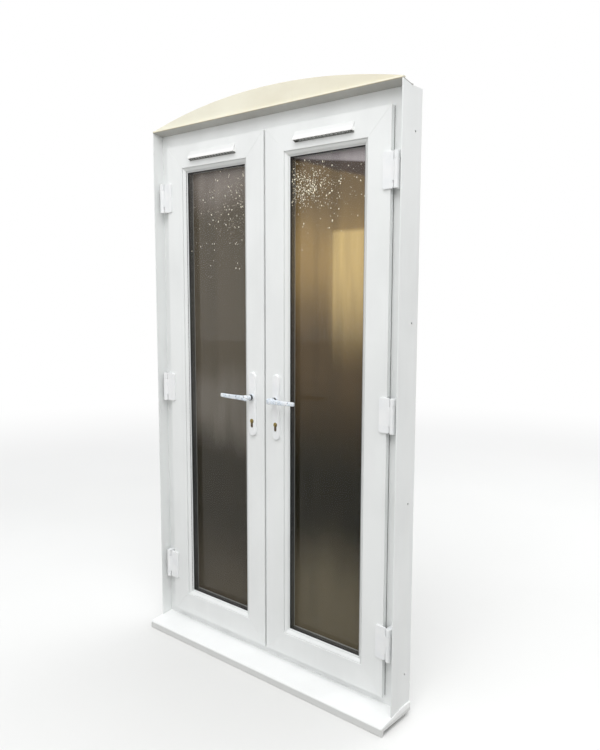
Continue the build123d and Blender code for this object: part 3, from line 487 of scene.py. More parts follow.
@dataclass(frozen=True)
class Glazing(Finish):
    """Sealed unit: a clear outer pane over an inner one painted in soft dim tones for the room behind and
    the glass's reflections, edged with sealant.
    """

    foot: float = 0.169
    top: float = 1.916
    inner_face: float = 0.012
    outer_cover: float = 0.1
    gloss: float = 0.25
    near_edge: float = 0.10925
    far_edge: float = 0.436
    sealant_width: float = 0.0034
    # Painted reflections on the right pane's top, a dark band and a pale rim, then a painted warm glow.
    reflected_band_slope: float = 0.094
    reflected_band_edge: Span = (-0.014, 0.002)
    rim_slope: float = 0.046
    rim_edge: Span = (-0.007, 0.001)
    glow_side: Span = (0.276, 0.29)
    glow_foot: Span = (1.14, 1.56)
    glow_head: Span = (1.66, 1.64)
    sway: float = 0.22
    wobble: float = 0.02
    blur: float = 0.001
    sealant: Colour = shade(174, 176, 172)
    # Colours of the painted glow, the painted dark band and the painted pale rim.
    painted_glow: Colour = shade(228, 200, 138)
    reflected_band: Colour = shade(78, 68, 66)
    rim: Colour = shade(196, 188, 190)
    # Painted shade and painted reflections: the tones up each pane stand in for the dim room behind and
    # what the glass reflects.
    right_low: Colour = shade(104, 96, 77)
    right_dark: Colour = shade(30, 28, 16)
    right_dim: Colour = shade(97, 81, 58)
    right_warm: Colour = shade(172, 144, 95)
    right_high: Colour = shade(130, 110, 79)
    left_low: Colour = shade(88, 81, 68)
    left_dark: Colour = shade(56, 52, 42)
    left_glare: Colour = shade(121, 115, 105)
    left_dim: Colour = shade(98, 90, 76)
    left_high: Colour = shade(145, 136, 128)
    # Painted shade: darker drifts over the pane tones.
    drift_shade: Colour = shade(58, 54, 44)

    def paint(self, shader: Shader) -> None:
        """Build the nodes of the finish.

        Args:
            shader: The material that is built.
        """
        cloud = shader.noise((5.0, 5.0, 2.2), 4.0)
        drift = shader.noise((16.0, 16.0, 1.2), 3.0)
        height = shader.axis("Z")
        across = abs(shader.axis("X"))
        level = (height - self.foot + (cloud - 0.5) * self.sway) * (1 / (self.top - self.foot))
        # Painted shade and painted reflections, from foot to top of each pane.
        right = self.tones(shader, level, [
            (0.09, self.right_low), (0.27, self.right_dark), (0.33, self.right_dark),
            (0.62, self.right_dim), (0.8, self.right_warm), (0.93, self.right_high),
        ])
        left = self.tones(shader, level, [
            (0.0, self.left_low), (0.2, self.left_dark), (0.34, self.left_dark),
            (0.45, self.left_glare), (0.49, self.left_glare), (0.57, self.left_dim),
            (0.88, self.left_dim), (0.99, self.left_high),
        ])
        right = self.lit(shader, right, drift)
        tone = shader.blend(shader.axis("X").ramp(0.01, -0.01), right, left)
        tone = shader.blend(drift.ramp(0.42, 0.75) * 0.3, tone, self.drift_shade)
        inner = shader.axis("Y").ramp(self.inner_face - self.blur, self.inner_face + self.blur)
        edge = (across - self.near_edge).least(self.far_edge - across)
        edge = edge.least(height - self.foot).least(self.top - height)
        line = edge.ramp(self.sealant_width, self.sealant_width * 0.6) * inner
        shader.dress({
            "Base Color": shader.blend(line * 0.85, tone, self.sealant),
            "Roughness": 0.03 + cloud * 0.02,
            "Specular IOR Level": self.gloss,
            "Alpha": self.outer_cover + inner * (1.0 - self.outer_cover),
        })

    def lit(self, shader: Shader, pane: bpy.types.NodeSocket, drift: Number) -> bpy.types.NodeSocket:
        """Add the painted glow of the right pane, and the painted reflections of a dark band and a pale rim
        along its top.

        Args:
            shader: The material that is built.
            pane: The colour of the pane so far.
            drift: Soft upright streaks, from 0 to 1.

        Returns:
            The colour's socket.
        """
        height, across = shader.axis("Z"), shader.axis("X")
        # Painted light: a warm glow on the right pane.
        painted_glow = across.ramp(*self.glow_side) * height.ramp(*self.glow_foot)
        painted_glow = painted_glow * height.ramp(*self.glow_head)
        pane = shader.blend(painted_glow * 0.95, pane, self.painted_glow)
        # Painted reflections: a dark band and a pale rim along the right pane's top.
        share = (across - self.near_edge) * (1 / (self.far_edge - self.near_edge))
        below = height - self.top
        over_band = below + share * self.reflected_band_slope + (drift - 0.5) * self.wobble
        pane = shader.blend(over_band.ramp(*self.reflected_band_edge) * 0.85, pane, self.reflected_band)
        return shader.blend((below + share * self.rim_slope).ramp(*self.rim_edge), pane, self.rim)

    @staticmethod
    def tones(shader: Shader, level: Number, stops: list[tuple[float, Colour]]) -> bpy.types.NodeSocket:
        """Blend named tones up a pane, each at its level from 0 to 1."""
        return shader.node("ShaderNodeValToRGB", {"stops": stops}, {0: level}).outputs[0]


@dataclass(frozen=True)
class Spacer(Finish):
    """Dark grey aluminium spacer with a row of breather holes."""

    grey: Colour = shade(90, 93, 94)
    hole: Colour = shade(40, 40, 40)

    def paint(self, shader: Shader) -> None:
        """Build the nodes of the finish.

        Args:
            shader: The material that is built.
        """
        grain = shader.cells(300.0)
        holes = Number(shader, grain.outputs["Distance"]).ramp(0.3, 0.22)
        brushed = shader.noise((40.0, 900.0, 900.0))
        shader.dress({
            "Base Color": shader.blend(holes * 0.8, self.grey, self.hole),
            "Metallic": 0.4 - holes * 0.3,
            "Roughness": 0.45 + brushed * 0.15,
        })


@dataclass(frozen=True)
class Rubber(Finish):
    """Black gasket rubber with a little dust."""

    black: Colour = shade(24, 24, 25)
    dusty: Colour = shade(58, 57, 55)

    def paint(self, shader: Shader) -> None:
        """Build the nodes of the finish.

        Args:
            shader: The material that is built.
        """
        dust = shader.noise((160.0, 160.0, 60.0), 4.0).ramp(0.5, 0.85)
        shader.dress({
            "Base Color": shader.blend(dust * 0.5, self.black, self.dusty),
            "Roughness": 0.55 + dust * 0.25,
        })
        shader.relief(dust, 0.0001, 0.3)


@dataclass(frozen=True)
class ZincSteel(Finish):
    """Galvanised steel with its spangle."""

    pale: Colour = shade(196, 199, 203)
    deep: Colour = shade(150, 154, 160)

    def paint(self, shader: Shader) -> None:
        """Build the nodes of the finish.

        Args:
            shader: The material that is built.
        """
        spangle = shader.cells(140.0)
        facet = self.brightness(shader, spangle)
        shader.dress({
            "Base Color": shader.blend(facet, self.pale, self.deep),
            "Metallic": 0.95,
            "Roughness": 0.3 + facet * 0.25,
        })

    @staticmethod
    def brightness(shader: Shader, spangle: bpy.types.Node) -> Number:
        """One number for each cell of the spangle."""
        split = shader.node("ShaderNodeSeparateXYZ", {}, {0: spangle.outputs["Color"]})
        return Number(shader, split.outputs[0])


@dataclass(frozen=True)
class Brass(Finish):
    """Brass of the lock cylinders, drawn lengthways and tarnished, most of all down the leg."""

    bright: Colour = shade(166, 148, 90)
    tarnish: Colour = shade(84, 74, 46)
    leg: Colour = shade(74, 58, 50)
    leg_top: float = 0.9475

    def paint(self, shader: Shader) -> None:
        """Build the nodes of the finish.

        Args:
            shader: The material that is built.
        """
        tarnish = shader.noise((180.0, 40.0, 180.0), 4.0).ramp(0.36, 0.66)
        scratches = shader.noise((1600.0, 60.0, 400.0), 2.0)
        below = shader.axis("Z").ramp(self.leg_top, self.leg_top - 0.003)
        worn = shader.blend(tarnish, self.bright, self.tarnish)
        shader.dress({
            "Base Color": shader.blend(below * 0.9, worn, self.leg),
            "Metallic": 0.9 - below * 0.5,
            "Roughness": 0.34 + tarnish * 0.22,
        })
        shader.relief(scratches, 0.00005, 0.5)


@dataclass(frozen=True)
class Water(Finish):
    """Rain drops on the glass, with painted glints where some of them catch the light."""

    lit: Colour = shade(255, 250, 228)
    clear: Colour = shade(190, 176, 140)

    def paint(self, shader: Shader) -> None:
        """Build the nodes of the finish.

        Args:
            shader: The material that is built.
        """
        # Painted glints: random drops turn bright and more opaque, standing in for light that they catch.
        painted_glint = shader.noise((170.0, 170.0, 170.0), 1.0).ramp(0.38, 0.5)
        shader.dress({
            "Base Color": shader.blend(painted_glint, self.clear, self.lit),
            "Roughness": 0.05 + painted_glint * 0.05,
            "Alpha": 0.35 + painted_glint * 0.65,
        })


WHITE = WhiteSection("white section plastic", "white_pvc")
# Painted shade: the soffit trim is a darker copy of the white section plastic, standing in for the shade on
# its downward face.
SOFFIT_PAINTED_SHADE = WhiteSection(
    "shaded soffit plastic", "white_pvc", clean=shade(188, 187, 182), aged=shade(178, 177, 171)
)
# Painted light: the cill's whites are lighter than the other white sections, standing in for the sky light
# on its top; the dust towards the foot is left out, and its nose carries painted shade.
CILL_PAINTED_LIGHT_AND_SHADE = CillPlastic(
    "cill plastic", "white_pvc", clean=shade(246, 247, 246), aged=shade(242, 243, 242), dust_top=0.001
)
CREAM = CreamPanel("cream board and white lip", "cream_panel")
COATING = Coating("white powder coating", "white_coating")
FILMED = FilmedCoating("filmed white coating", "white_coating")
VENT = VentPlastic("moulded vent plastic", "vent_plastic")
GLASS = Glazing("sealed unit glass", "glazing")
SPACER = Spacer("dark spacer bar", "spacer_grey")
RUBBER = Rubber("gasket rubber", "black_rubber")
STEEL = ZincSteel("galvanised steel sheet", "galvanised_steel")
BRASS = Brass("lock cylinder brass", "cylinder_brass")
WATER = Water("rain drops", "glazing")


class Bench:
    """Modelling steps that every sub-assembly uses."""

    @staticmethod
    def pick(piece: Piece) -> None:
        """Select one piece alone and make it active.

        Args:
            piece: The piece.
        """
        bpy.ops.object.select_all(action="DESELECT")
        piece.select_set(True)
        bpy.context.view_layer.objects.active = piece

    @classmethod
    def open(cls, piece: Piece) -> None:
        """Start editing a piece with none of its faces selected.

        Args:
            piece: The piece.
        """
        cls.pick(piece)
        bpy.ops.object.mode_set(mode="EDIT")
        bpy.ops.mesh.select_mode(type="FACE")
        bpy.ops.mesh.select_all(action="DESELECT")

    @staticmethod
    def close() -> None:
        """Stop editing."""
        bpy.ops.object.mode_set(mode="OBJECT")

    @staticmethod
    def select_faces(piece: Piece, test: FaceTest) -> None:
        """Select the faces of the edited piece that pass a test.

        Args:
            piece: The piece that is being edited.
            test: Says by a face's middle and normal whether it is selected.
        """
        mesh = bmesh.from_edit_mesh(piece.data)
        chosen = [face for face in mesh.faces if test(face.calc_center_median(), face.normal)]
        for face in mesh.faces:
            face.select_set(False)
        for face in chosen:
            face.select_set(True)
        bmesh.update_edit_mesh(piece.data)

    @staticmethod
    def start(add: Operator, name: str, scale: Size, **settings: object) -> Piece:
        """Add a primitive with nothing else selected, and move its place and scale into its mesh.

        Args:
            add: The operator that adds the primitive.
            name: The name of the new piece.
            scale: Its scale along each axis.
            settings: The operator's own settings.

        Returns:
            The new piece.
        """
        bpy.ops.object.select_all(action="DESELECT")
        add(**settings)
        piece = bpy.context.object
        piece.name = name
        piece.scale = scale
        bpy.ops.object.transform_apply(location=True, rotation=True, scale=True)
        return piece

    @classmethod
    def modify(cls, piece: Piece, kind: str, **settings: object) -> None:
        """Add a modifier and apply it.

        Args:
            piece: The piece that is changed.
            kind: The modifier's type.
            settings: The modifier's properties.
        """
        cls.pick(piece)
        modifier = piece.modifiers.new(kind.lower(), kind)
        for name, value in settings.items():
            setattr(modifier, name, value)
        bpy.ops.object.modifier_apply(modifier=modifier.name)

    @classmethod
    def smooth(cls, piece: Piece, degrees: float = 50.0) -> None:
        """Smooth the shading between faces that meet at less than an angle."""
        cls.pick(piece)
        bpy.ops.object.shade_smooth_by_angle(angle=math.radians(degrees))

    @staticmethod
    def copy_of(source: Piece, name: str, place: Matrix | None = None) -> Piece:
        """Copy a piece with its own mesh.

        Args:
            source: The piece that is copied.
            name: The copy's name.
            place: Where the copy goes. A mirrored place keeps its faces pointing outwards.

        Returns:
            The copy.
        """
        mesh = source.data.copy()
        if place is not None:
            mesh.transform(place)
            if place.determinant() < 0:
                mesh.flip_normals()
        piece = bpy.data.objects.new(name, mesh)
        bpy.context.scene.collection.objects.link(piece)
        return piece

    @classmethod
    def softened(cls, node: str, width: float, segments: int = 2) -> Piece:
        """Copy a solid of the frame and round its edges.

        Args:
            node: Name of the solid.
            width: Width of the rounding, in metres.
            segments: Strips in each rounding.

        Returns:
            The copy, which has yet to be mounted.
        """
        piece = cls.copy_of(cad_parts[node], f"{node}_shell")
        cls.pick(piece)
        bpy.ops.mesh.customdata_custom_splitnormals_clear()
        bpy.ops.object.mode_set(mode="EDIT")
        bpy.ops.mesh.select_all(action="SELECT")
        bpy.ops.mesh.remove_doubles(threshold=MERGE_DISTANCE)
        bpy.ops.mesh.dissolve_limited(angle_limit=FLAT_ANGLE)
        cls.close()
        cls.modify(
            piece, "BEVEL", width=width, segments=segments, limit_method="ANGLE",
            angle_limit=EDGE_ANGLE, use_clamp_overlap=True,
        )
        cls.polish(piece)
        return piece

    @classmethod
    def polish(cls, piece: Piece) -> None:
        """Smooth the shading of a piece and keep its flat faces flat.

        Args:
            piece: The piece.
        """
        cls.pick(piece)
        bpy.ops.mesh.customdata_custom_splitnormals_clear()
        cls.smooth(piece)
        cls.modify(piece, "WEIGHTED_NORMAL", keep_sharp=True)

    @classmethod
    def join(cls, name: str, *pieces: Piece) -> Piece:
        """Join pieces into the first one.

        Args:
            name: The joined piece's name.
            pieces: What is joined.

        Returns:
            The first piece.
        """
        bpy.ops.object.select_all(action="DESELECT")
        for piece in pieces:
            piece.select_set(True)
        bpy.context.view_layer.objects.active = pieces[0]
        bpy.ops.object.join()
        pieces[0].name = name
        return pieces[0]

    @staticmethod
    def mount(piece: Piece, body: str, finish: Finish, *replaced: str) -> Piece:
        """Dress a piece and make it ride on a body.

        Args:
            piece: The finished piece.
            body: Name of the body that carries it.
            finish: The finish of its surface.
            replaced: Names of the solids that it stands for.

        Returns:
            The piece.
        """
        piece.data.materials.clear()
        piece.data.materials.append(finish.material())
        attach(piece, body)
        if replaced:
            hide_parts(*replaced)
        LOG.info("%s rides on %s", piece.name, body)
        return piece

    @staticmethod
    def dress(node: str, finish: Finish) -> None:
        """Keep a solid of the frame and give it its finish.

        Args:
            node: Name of the solid.
            finish: The finish of its surface.
        """
        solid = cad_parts[node]
        solid.data.materials.clear()
        solid.data.materials.append(finish.material())
        LOG.info("%s keeps its solid", node)


@dataclass
class Frame:
    """Outer frame with its mullion, cill, trims and arched panel."""

    body: str = "frame"
    section_edge: float = 0.001
    trim_edge: float = 0.0006
    cill_edge: float = 0.0015

    def build(self) -> None:
        """Round and dress every part of the frame."""
        for node in (
            "frame_head", "frame_left_jamb", "frame_right_jamb", "frame_threshold", "centre_mullion"
        ):
            Bench.mount(Bench.softened(node, self.section_edge), self.body, WHITE, node)
        for node, edge, finish in (
            ("cill", self.cill_edge, CILL_PAINTED_LIGHT_AND_SHADE),
            ("cill_end_caps", self.cill_edge, CILL_PAINTED_LIGHT_AND_SHADE),
            ("reveal_trims", self.trim_edge, WHITE),
            ("soffit_trim", self.trim_edge, SOFFIT_PAINTED_SHADE),
            ("arch_panel", self.trim_edge, CREAM),
        ):
            Bench.mount(Bench.softened(node, edge), self.body, finish, node)
        Bench.dress("frame_steel", STEEL)
        Bench.dress("lock_keeps", STEEL)
        Bench.dress("frame_seal", RUBBER)


@dataclass
class Leaf:
    """One leaf: its welded sections, sealed unit, seals and steel."""

    side: Side
    section_edge: float = 0.001
    bead_edge: float = 0.0008
    gasket_edge: float = 0.0006
    gasket_lip: float = 0.0018
    beyond_middle: float = 0.02
    grooves: tuple[tuple[float, float, float], ...] = ((0.0892, 0.0022, 0.0052), (0.1026, 0.0018, 0.014))

    @property
    def body(self) -> str:
        """Name of the body that the leaf is."""
        return self.side.node("leaf")

    def build(self) -> None:
        """Round and dress every part of the leaf."""
        cutters = [self.groove_cutter(*groove) for groove in self.grooves]
        for part in ("hinge_stile", "lock_stile", "top_rail", "bottom_rail"):
            node = self.side.node(part)
            section = Bench.softened(node, self.section_edge)
            for cutter in cutters:
                Bench.modify(section, "BOOLEAN", operation="DIFFERENCE", object=cutter, solver="EXACT")
            Bench.polish(section)
            Bench.mount(section, self.body, WHITE, node)
        for cutter in cutters:
            bpy.data.objects.remove(cutter)
        beads = self.side.node("glazing_beads")
        Bench.mount(Bench.softened(beads, self.bead_edge), self.body, WHITE, beads)
        Bench.dress(self.side.node("glass_panes"), GLASS)
        Bench.dress(self.side.node("spacer_bar"), SPACER)
        gasket = self.side.node("glazing_gasket")
        Bench.mount(self.gasket(gasket), self.body, RUBBER, gasket)
        Bench.dress(self.side.node("leaf_seal"), RUBBER)
        Bench.dress(self.side.node("leaf_steel"), STEEL)

    def groove_cutter(self, inset: float, width: float, depth: float) -> Piece:
        """Model the ring that cuts one fine groove along the sculptured leg, all round the pane.

        Args:
            inset: Distance of the groove from the outer edges of the leaf.
            width: Width of the groove.
            depth: Depth of its floor behind the face of the leaf.

        Returns:
            The ring.
        """
        low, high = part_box(self.side.node("hinge_stile"))
        other_low, other_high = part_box(self.side.node("lock_stile"))
        left, right = min(low.x, other_low.x), max(high.x, other_high.x)
        ring = Bench.start(
            bpy.ops.mesh.primitive_plane_add, "groove_cutter",
            (right - left - 2 * inset, high.z - low.z - 2 * inset, 1.0), size=1.0,
            location=((left + right) / 2, low.y - depth, (low.z + high.z) / 2), rotation=UPRIGHT,
        )
        Bench.open(ring)
        bpy.ops.mesh.select_all(action="SELECT")
        bpy.ops.mesh.inset(thickness=width)
        bpy.ops.mesh.delete(type="FACE")
        bpy.ops.mesh.select_all(action="SELECT")
        bpy.ops.mesh.extrude_region_move(TRANSFORM_OT_translate={"value": (0.0, 2 * depth, 0.0)})
        bpy.ops.mesh.select_all(action="SELECT")
        bpy.ops.mesh.normals_make_consistent(inside=False)
        Bench.close()
        return ring

    def gasket(self, node: str) -> Piece:
        """Give the gasket a soft lip that reaches a little further over the glass.

        Args:
            node: Name of the gasket's solid.

        Returns:
            The gasket.
        """
        low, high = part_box(node)
        centre = (low + high) / 2
        piece = Bench.softened(node, self.gasket_edge)
        Bench.open(piece)
        for normal in (Vector((1, 0, 0)), Vector((-1, 0, 0)), Vector((0, 0, 1)), Vector((0, 0, -1))):
            def faces_in(middle: Vector, facing: Vector, wanted: Vector = normal) -> bool:
                """Whether a face looks at the middle of the pane along one direction."""
                inwards = (centre - middle).dot(wanted)
                return facing.dot(wanted) > FACING and inwards > self.beyond_middle

            Bench.select_faces(piece, faces_in)
            bpy.ops.transform.translate(value=normal * self.gasket_lip)
        Bench.close()
        return piece


@dataclass
class Hinges:
    """The flag hinges of both leaves."""

    edge: float = 0.0009

    def build(self) -> None:
        """Round and dress the halves on the frame and on the leaves."""
        Bench.mount(
            Bench.softened("hinge_frame_halves", self.edge, 3), "frame", COATING, "hinge_frame_halves"
        )
        for side in Side:
            node = side.node("hinge_leaf_halves")
            Bench.mount(Bench.softened(node, self.edge, 3), side.node("leaf"), COATING, node)


@dataclass
class Levers:
    """The lever handles, modelled once for the right leaf's outer face."""

    reach: float = 0.126
    hub_height: float = 0.0185
    tip_height: float = 0.015
    hub_radius: float = 0.0115
    hub_thickness: float = 0.0128
    bush_and_gap_shade_radius: float = 0.0108
    bush_and_gap_shade_end: float = 0.013
    hub_depth: float = 0.013
    tip_depth: float = 0.009
    root_offset: float = 0.3
    root_length: float = 0.4
    arm_edge: float = 0.0035
    round_sides: int = 40
    bow: float = 0.0015
    sweep: float = 0.005
    lift: float = 0.0022
    stations: int = 7
    standoff: float = 0.0353
    neck_radius: float = 0.0095
    neck_seat: float = 0.005
    collar_radius: float = 0.0125
    collar_depth: float = 0.005
    collar_rim: float = 0.0012
    soft_rim: float = 0.0008
    plate_gap: float = 0.0003
    spindle: float = 0.008
    spindle_reach: float = 0.1075
    spindle_edge: float = 0.0006
    axis_height: float = 1.045
    middle_depth: float = 0.013

    def axis_x(self) -> float:
        """Distance of the lever's axis from the middle of the doors."""
        low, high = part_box("right_key_plug")
        return (low.x + high.x) / 2

    def arm(self) -> Piece:
        """Model the arm as a row of sections that bow outwards and rise a little at the tip.

        Returns:
            The arm, smoothed by subdivision.
        """
        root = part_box("right_outer_backplate")[0].y
        offset, length = self.hub_height * self.root_offset, self.hub_height * self.root_length
        arm = Bench.start(
            bpy.ops.mesh.primitive_cube_add, "lever_arm", (length, self.hub_depth, self.hub_height),
            size=1.0, location=(self.axis_x() - offset, root - self.standoff, self.axis_height),
        )
        Bench.open(arm)
        Bench.select_faces(arm, lambda middle, normal: normal.x > FACING)
        step = (self.reach + offset - length / 2) / self.stations
        for station in range(1, self.stations + 1):
            share = station / self.stations
            before = share - 1 / self.stations
            bow = self.bow * (math.sin(math.pi * share) - math.sin(math.pi * before))
            bow += self.sweep * (share**2 - before**2)
            lift = self.lift * (share**3 - before**3)
            bpy.ops.mesh.extrude_region_move(TRANSFORM_OT_translate={"value": (step, -bow, lift)})
            depth, height = (
                (hub + (tip - hub) * share) / (hub + (tip - hub) * before)
                for hub, tip in ((self.hub_depth, self.tip_depth), (self.hub_height, self.tip_height))
            )
            centre = self.selected_centre(arm)
            bpy.ops.transform.resize(value=(1.0, depth, height), center_override=centre)
        bpy.ops.mesh.select_all(action="SELECT")
        bpy.ops.mesh.bevel(offset=self.arm_edge, segments=2, affect="EDGES")
        Bench.close()
        Bench.modify(arm, "SUBSURF", levels=2, render_levels=2)
        Bench.smooth(arm)
        return arm

    @staticmethod
    def selected_centre(piece: Piece) -> Vector:
        """Find the middle of what is selected.

        Args:
            piece: The piece that is being edited.

        Returns:
            The mean place of its selected vertices.
        """
        mesh = bmesh.from_edit_mesh(piece.data)
        chosen = [vertex.co for vertex in mesh.verts if vertex.select]
        return sum(chosen, Vector()) / len(chosen)

    def turned(self, radius: float, from_y: float, to_y: float, edge: float) -> Piece:
        """Model a round part on the lever's axis.

        Args:
            radius: The part's radius.
            from_y: Where it starts, through the doors.
            to_y: Where it ends.
            edge: Rounding of its rims.

        Returns:
            The round part.
        """
        part = Bench.start(
            bpy.ops.mesh.primitive_cylinder_add, "lever_turned_part", (1.0, 1.0, 1.0),
            vertices=self.round_sides, radius=radius, depth=abs(to_y - from_y),
            location=(self.axis_x(), (from_y + to_y) / 2, self.axis_height), rotation=UPRIGHT,
        )
        Bench.modify(
            part, "BEVEL", width=edge, segments=3, limit_method="ANGLE", angle_limit=RIM_ANGLE
        )
        Bench.smooth(part)
        return part

    def hub(self, middle: float) -> Piece:
        """Model the flat round knuckle in which the arm meets its neck.

        Args:
            middle: Its middle, through the doors.

        Returns:
            The knuckle.
        """
        hub = Bench.start(
            bpy.ops.mesh.primitive_uv_sphere_add, "lever_hub",
            (1.0, self.hub_thickness / 2 / self.hub_radius, 1.0), segments=36, ring_count=20,
            radius=self.hub_radius, location=(self.axis_x(), middle, self.axis_height),
        )
        Bench.smooth(hub, 60.0)
        return hub

    def spindle_bar(self, root: float) -> Piece:
        """Model the square spindle that joins the two levers of a leaf.

        Args:
            root: Where it starts, through the doors.

        Returns:
            The spindle.
        """
        bar = Bench.start(
            bpy.ops.mesh.primitive_cube_add, "lever_spindle",
            (self.spindle, self.spindle_reach, self.spindle), size=1.0,
            location=(self.axis_x(), root + self.spindle_reach / 2, self.axis_height),
        )
        Bench.modify(bar, "BEVEL", width=self.spindle_edge, segments=2)
        return bar

    def build(self) -> None:
        """Model the right leaf's levers and mirror them to the left leaf."""
        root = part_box("right_outer_backplate")[0].y
        neck_end, clear = root - self.standoff, root - self.plate_gap
        arm = self.arm()
        neck = self.turned(self.neck_radius, root + self.neck_seat, neck_end, self.soft_rim)
        collar = self.turned(self.collar_radius, clear, root - self.collar_depth, self.collar_rim)
        # A black rubber bush behind the collar, partly a real part and partly standing in for the shade in
        # the gap around the neck.
        bush_and_gap_shade = self.turned(self.bush_and_gap_shade_radius, clear, root - self.bush_and_gap_shade_end, self.soft_rim)
        handle = Bench.join("lever_pattern", arm, neck, collar, self.hub(neck_end))
        with_spindle = Bench.copy_of(handle, "lever_with_spindle_pattern")
        with_spindle = Bench.join("lever_with_spindle_pattern", with_spindle, self.spindle_bar(root))
        indoors = Matrix.Translation((0.0, 2 * self.middle_depth, 0.0)) @ Matrix.Diagonal((1, -1, 1, 1))
        for side in Side:
            across = Matrix.Diagonal((side.value, 1, 1, 1))
            for face, pattern, turn in (
                (Face.OUTER, with_spindle, Matrix.Identity(4)),
                (Face.INNER, handle, indoors),
            ):
                node = side.node(face.part("lever"))
                piece = Bench.copy_of(pattern, f"{node}_handle", across @ turn)
                Bench.mount(piece, side.node("levers"), FILMED, node)
                # The dark bush ring: partly a real part, partly standing in for shade at the neck.
                ring = Bench.copy_of(bush_and_gap_shade, side.node(face.part("bush_and_gap_shade")), across @ turn)
                Bench.mount(ring, side.node("levers"), RUBBER)
        for pattern in (handle, with_spindle, bush_and_gap_shade):
            bpy.data.objects.remove(pattern)


@dataclass
class Locks:
    """Back plates with their screws, cylinders, plugs, cases and bolts."""

    plate_edge: float = 0.0014
    brass_edge: float = 0.0004
    screw_radius: float = 0.0042
    screw_dome: float = 0.0016
    screw_inset: float = 0.014
    recess_width: float = 0.0011
    recess_length: float = 0.0048
    recess_depth: float = 1.4

    def build(self) -> None:
        """Round and dress the lock parts of both leaves."""
        screw = self.screw_head()
        for side in Side:
            leaf = side.node("leaf")
            for face in Face:
                node = side.node(face.part("backplate"))
                Bench.mount(Bench.softened(node, self.plate_edge, 3), leaf, COATING, node)
            self.place_screws(screw, side)
            for part, body in (("lock_cylinder", leaf), ("key_plug", side.node("key"))):
                node = side.node(part)
                Bench.mount(Bench.softened(node, self.brass_edge), body, BRASS, node)
            for part in ("lock_case", "latch_bolt", "dead_bolt"):
                Bench.dress(side.node(part), STEEL)
        bpy.data.objects.remove(screw)

    def screw_head(self) -> Piece:
        """Model a domed screw head with a cross recess, facing indoors at the origin.

        Returns:
            The screw head.
        """
        head = Bench.start(
            bpy.ops.mesh.primitive_uv_sphere_add, "screw_head_pattern",
            (1.0, self.screw_dome / self.screw_radius, 1.0), segments=28, ring_count=16,
            radius=self.screw_radius,
        )
        sizes = (self.recess_width, self.recess_length)
        for width, height in (sizes, sizes[::-1]):
            cutter = Bench.start(
                bpy.ops.mesh.primitive_cube_add, "screw_recess",
                (width, self.screw_dome * self.recess_depth, height), size=1.0,
                location=(0.0, self.screw_dome, 0.0),
            )
            Bench.modify(head, "BOOLEAN", operation="DIFFERENCE", object=cutter, solver="EXACT")
            bpy.data.objects.remove(cutter)
        Bench.smooth(head, 35.0)
        return head

    def place_screws(self, screw: Piece, side: Side) -> None:
        """Set two screw heads in the inner back plate of a leaf.

        Args:
            screw: The pattern of the screw head.
            side: The leaf.
        """
        low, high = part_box(side.node("inner_backplate"))
        across = (low.x + high.x) / 2
        for place, height in (("upper", high.z - self.screw_inset), ("lower", low.z + self.screw_inset)):
            spot = Matrix.Translation((across, high.y, height))
            piece = Bench.copy_of(screw, side.node(f"backplate_{place}_screw"), spot)
            Bench.mount(piece, side.node("leaf"), STEEL)


@dataclass
class Vents:
    """Trickle vents: the canopies outdoors, the controllers and flaps indoors."""

    edge: float = 0.0007

    def build(self) -> None:
        """Round and dress the vents of both leaves."""
        for side in Side:
            for part, body in (
                ("vent_canopy", side.node("leaf")),
                ("vent_controller", side.node("leaf")),
                ("vent_flap", side.node("flap")),
            ):
                node = side.node(part)
                Bench.mount(Bench.softened(node, self.edge), body, VENT, node)


@dataclass(frozen=True)
class Shower:
    """Where drops lie on one pane: a thick patch near the top, thinning out around it."""

    side: Side
    count: int
    across: float
    spread: float
    down: float
    fall: float


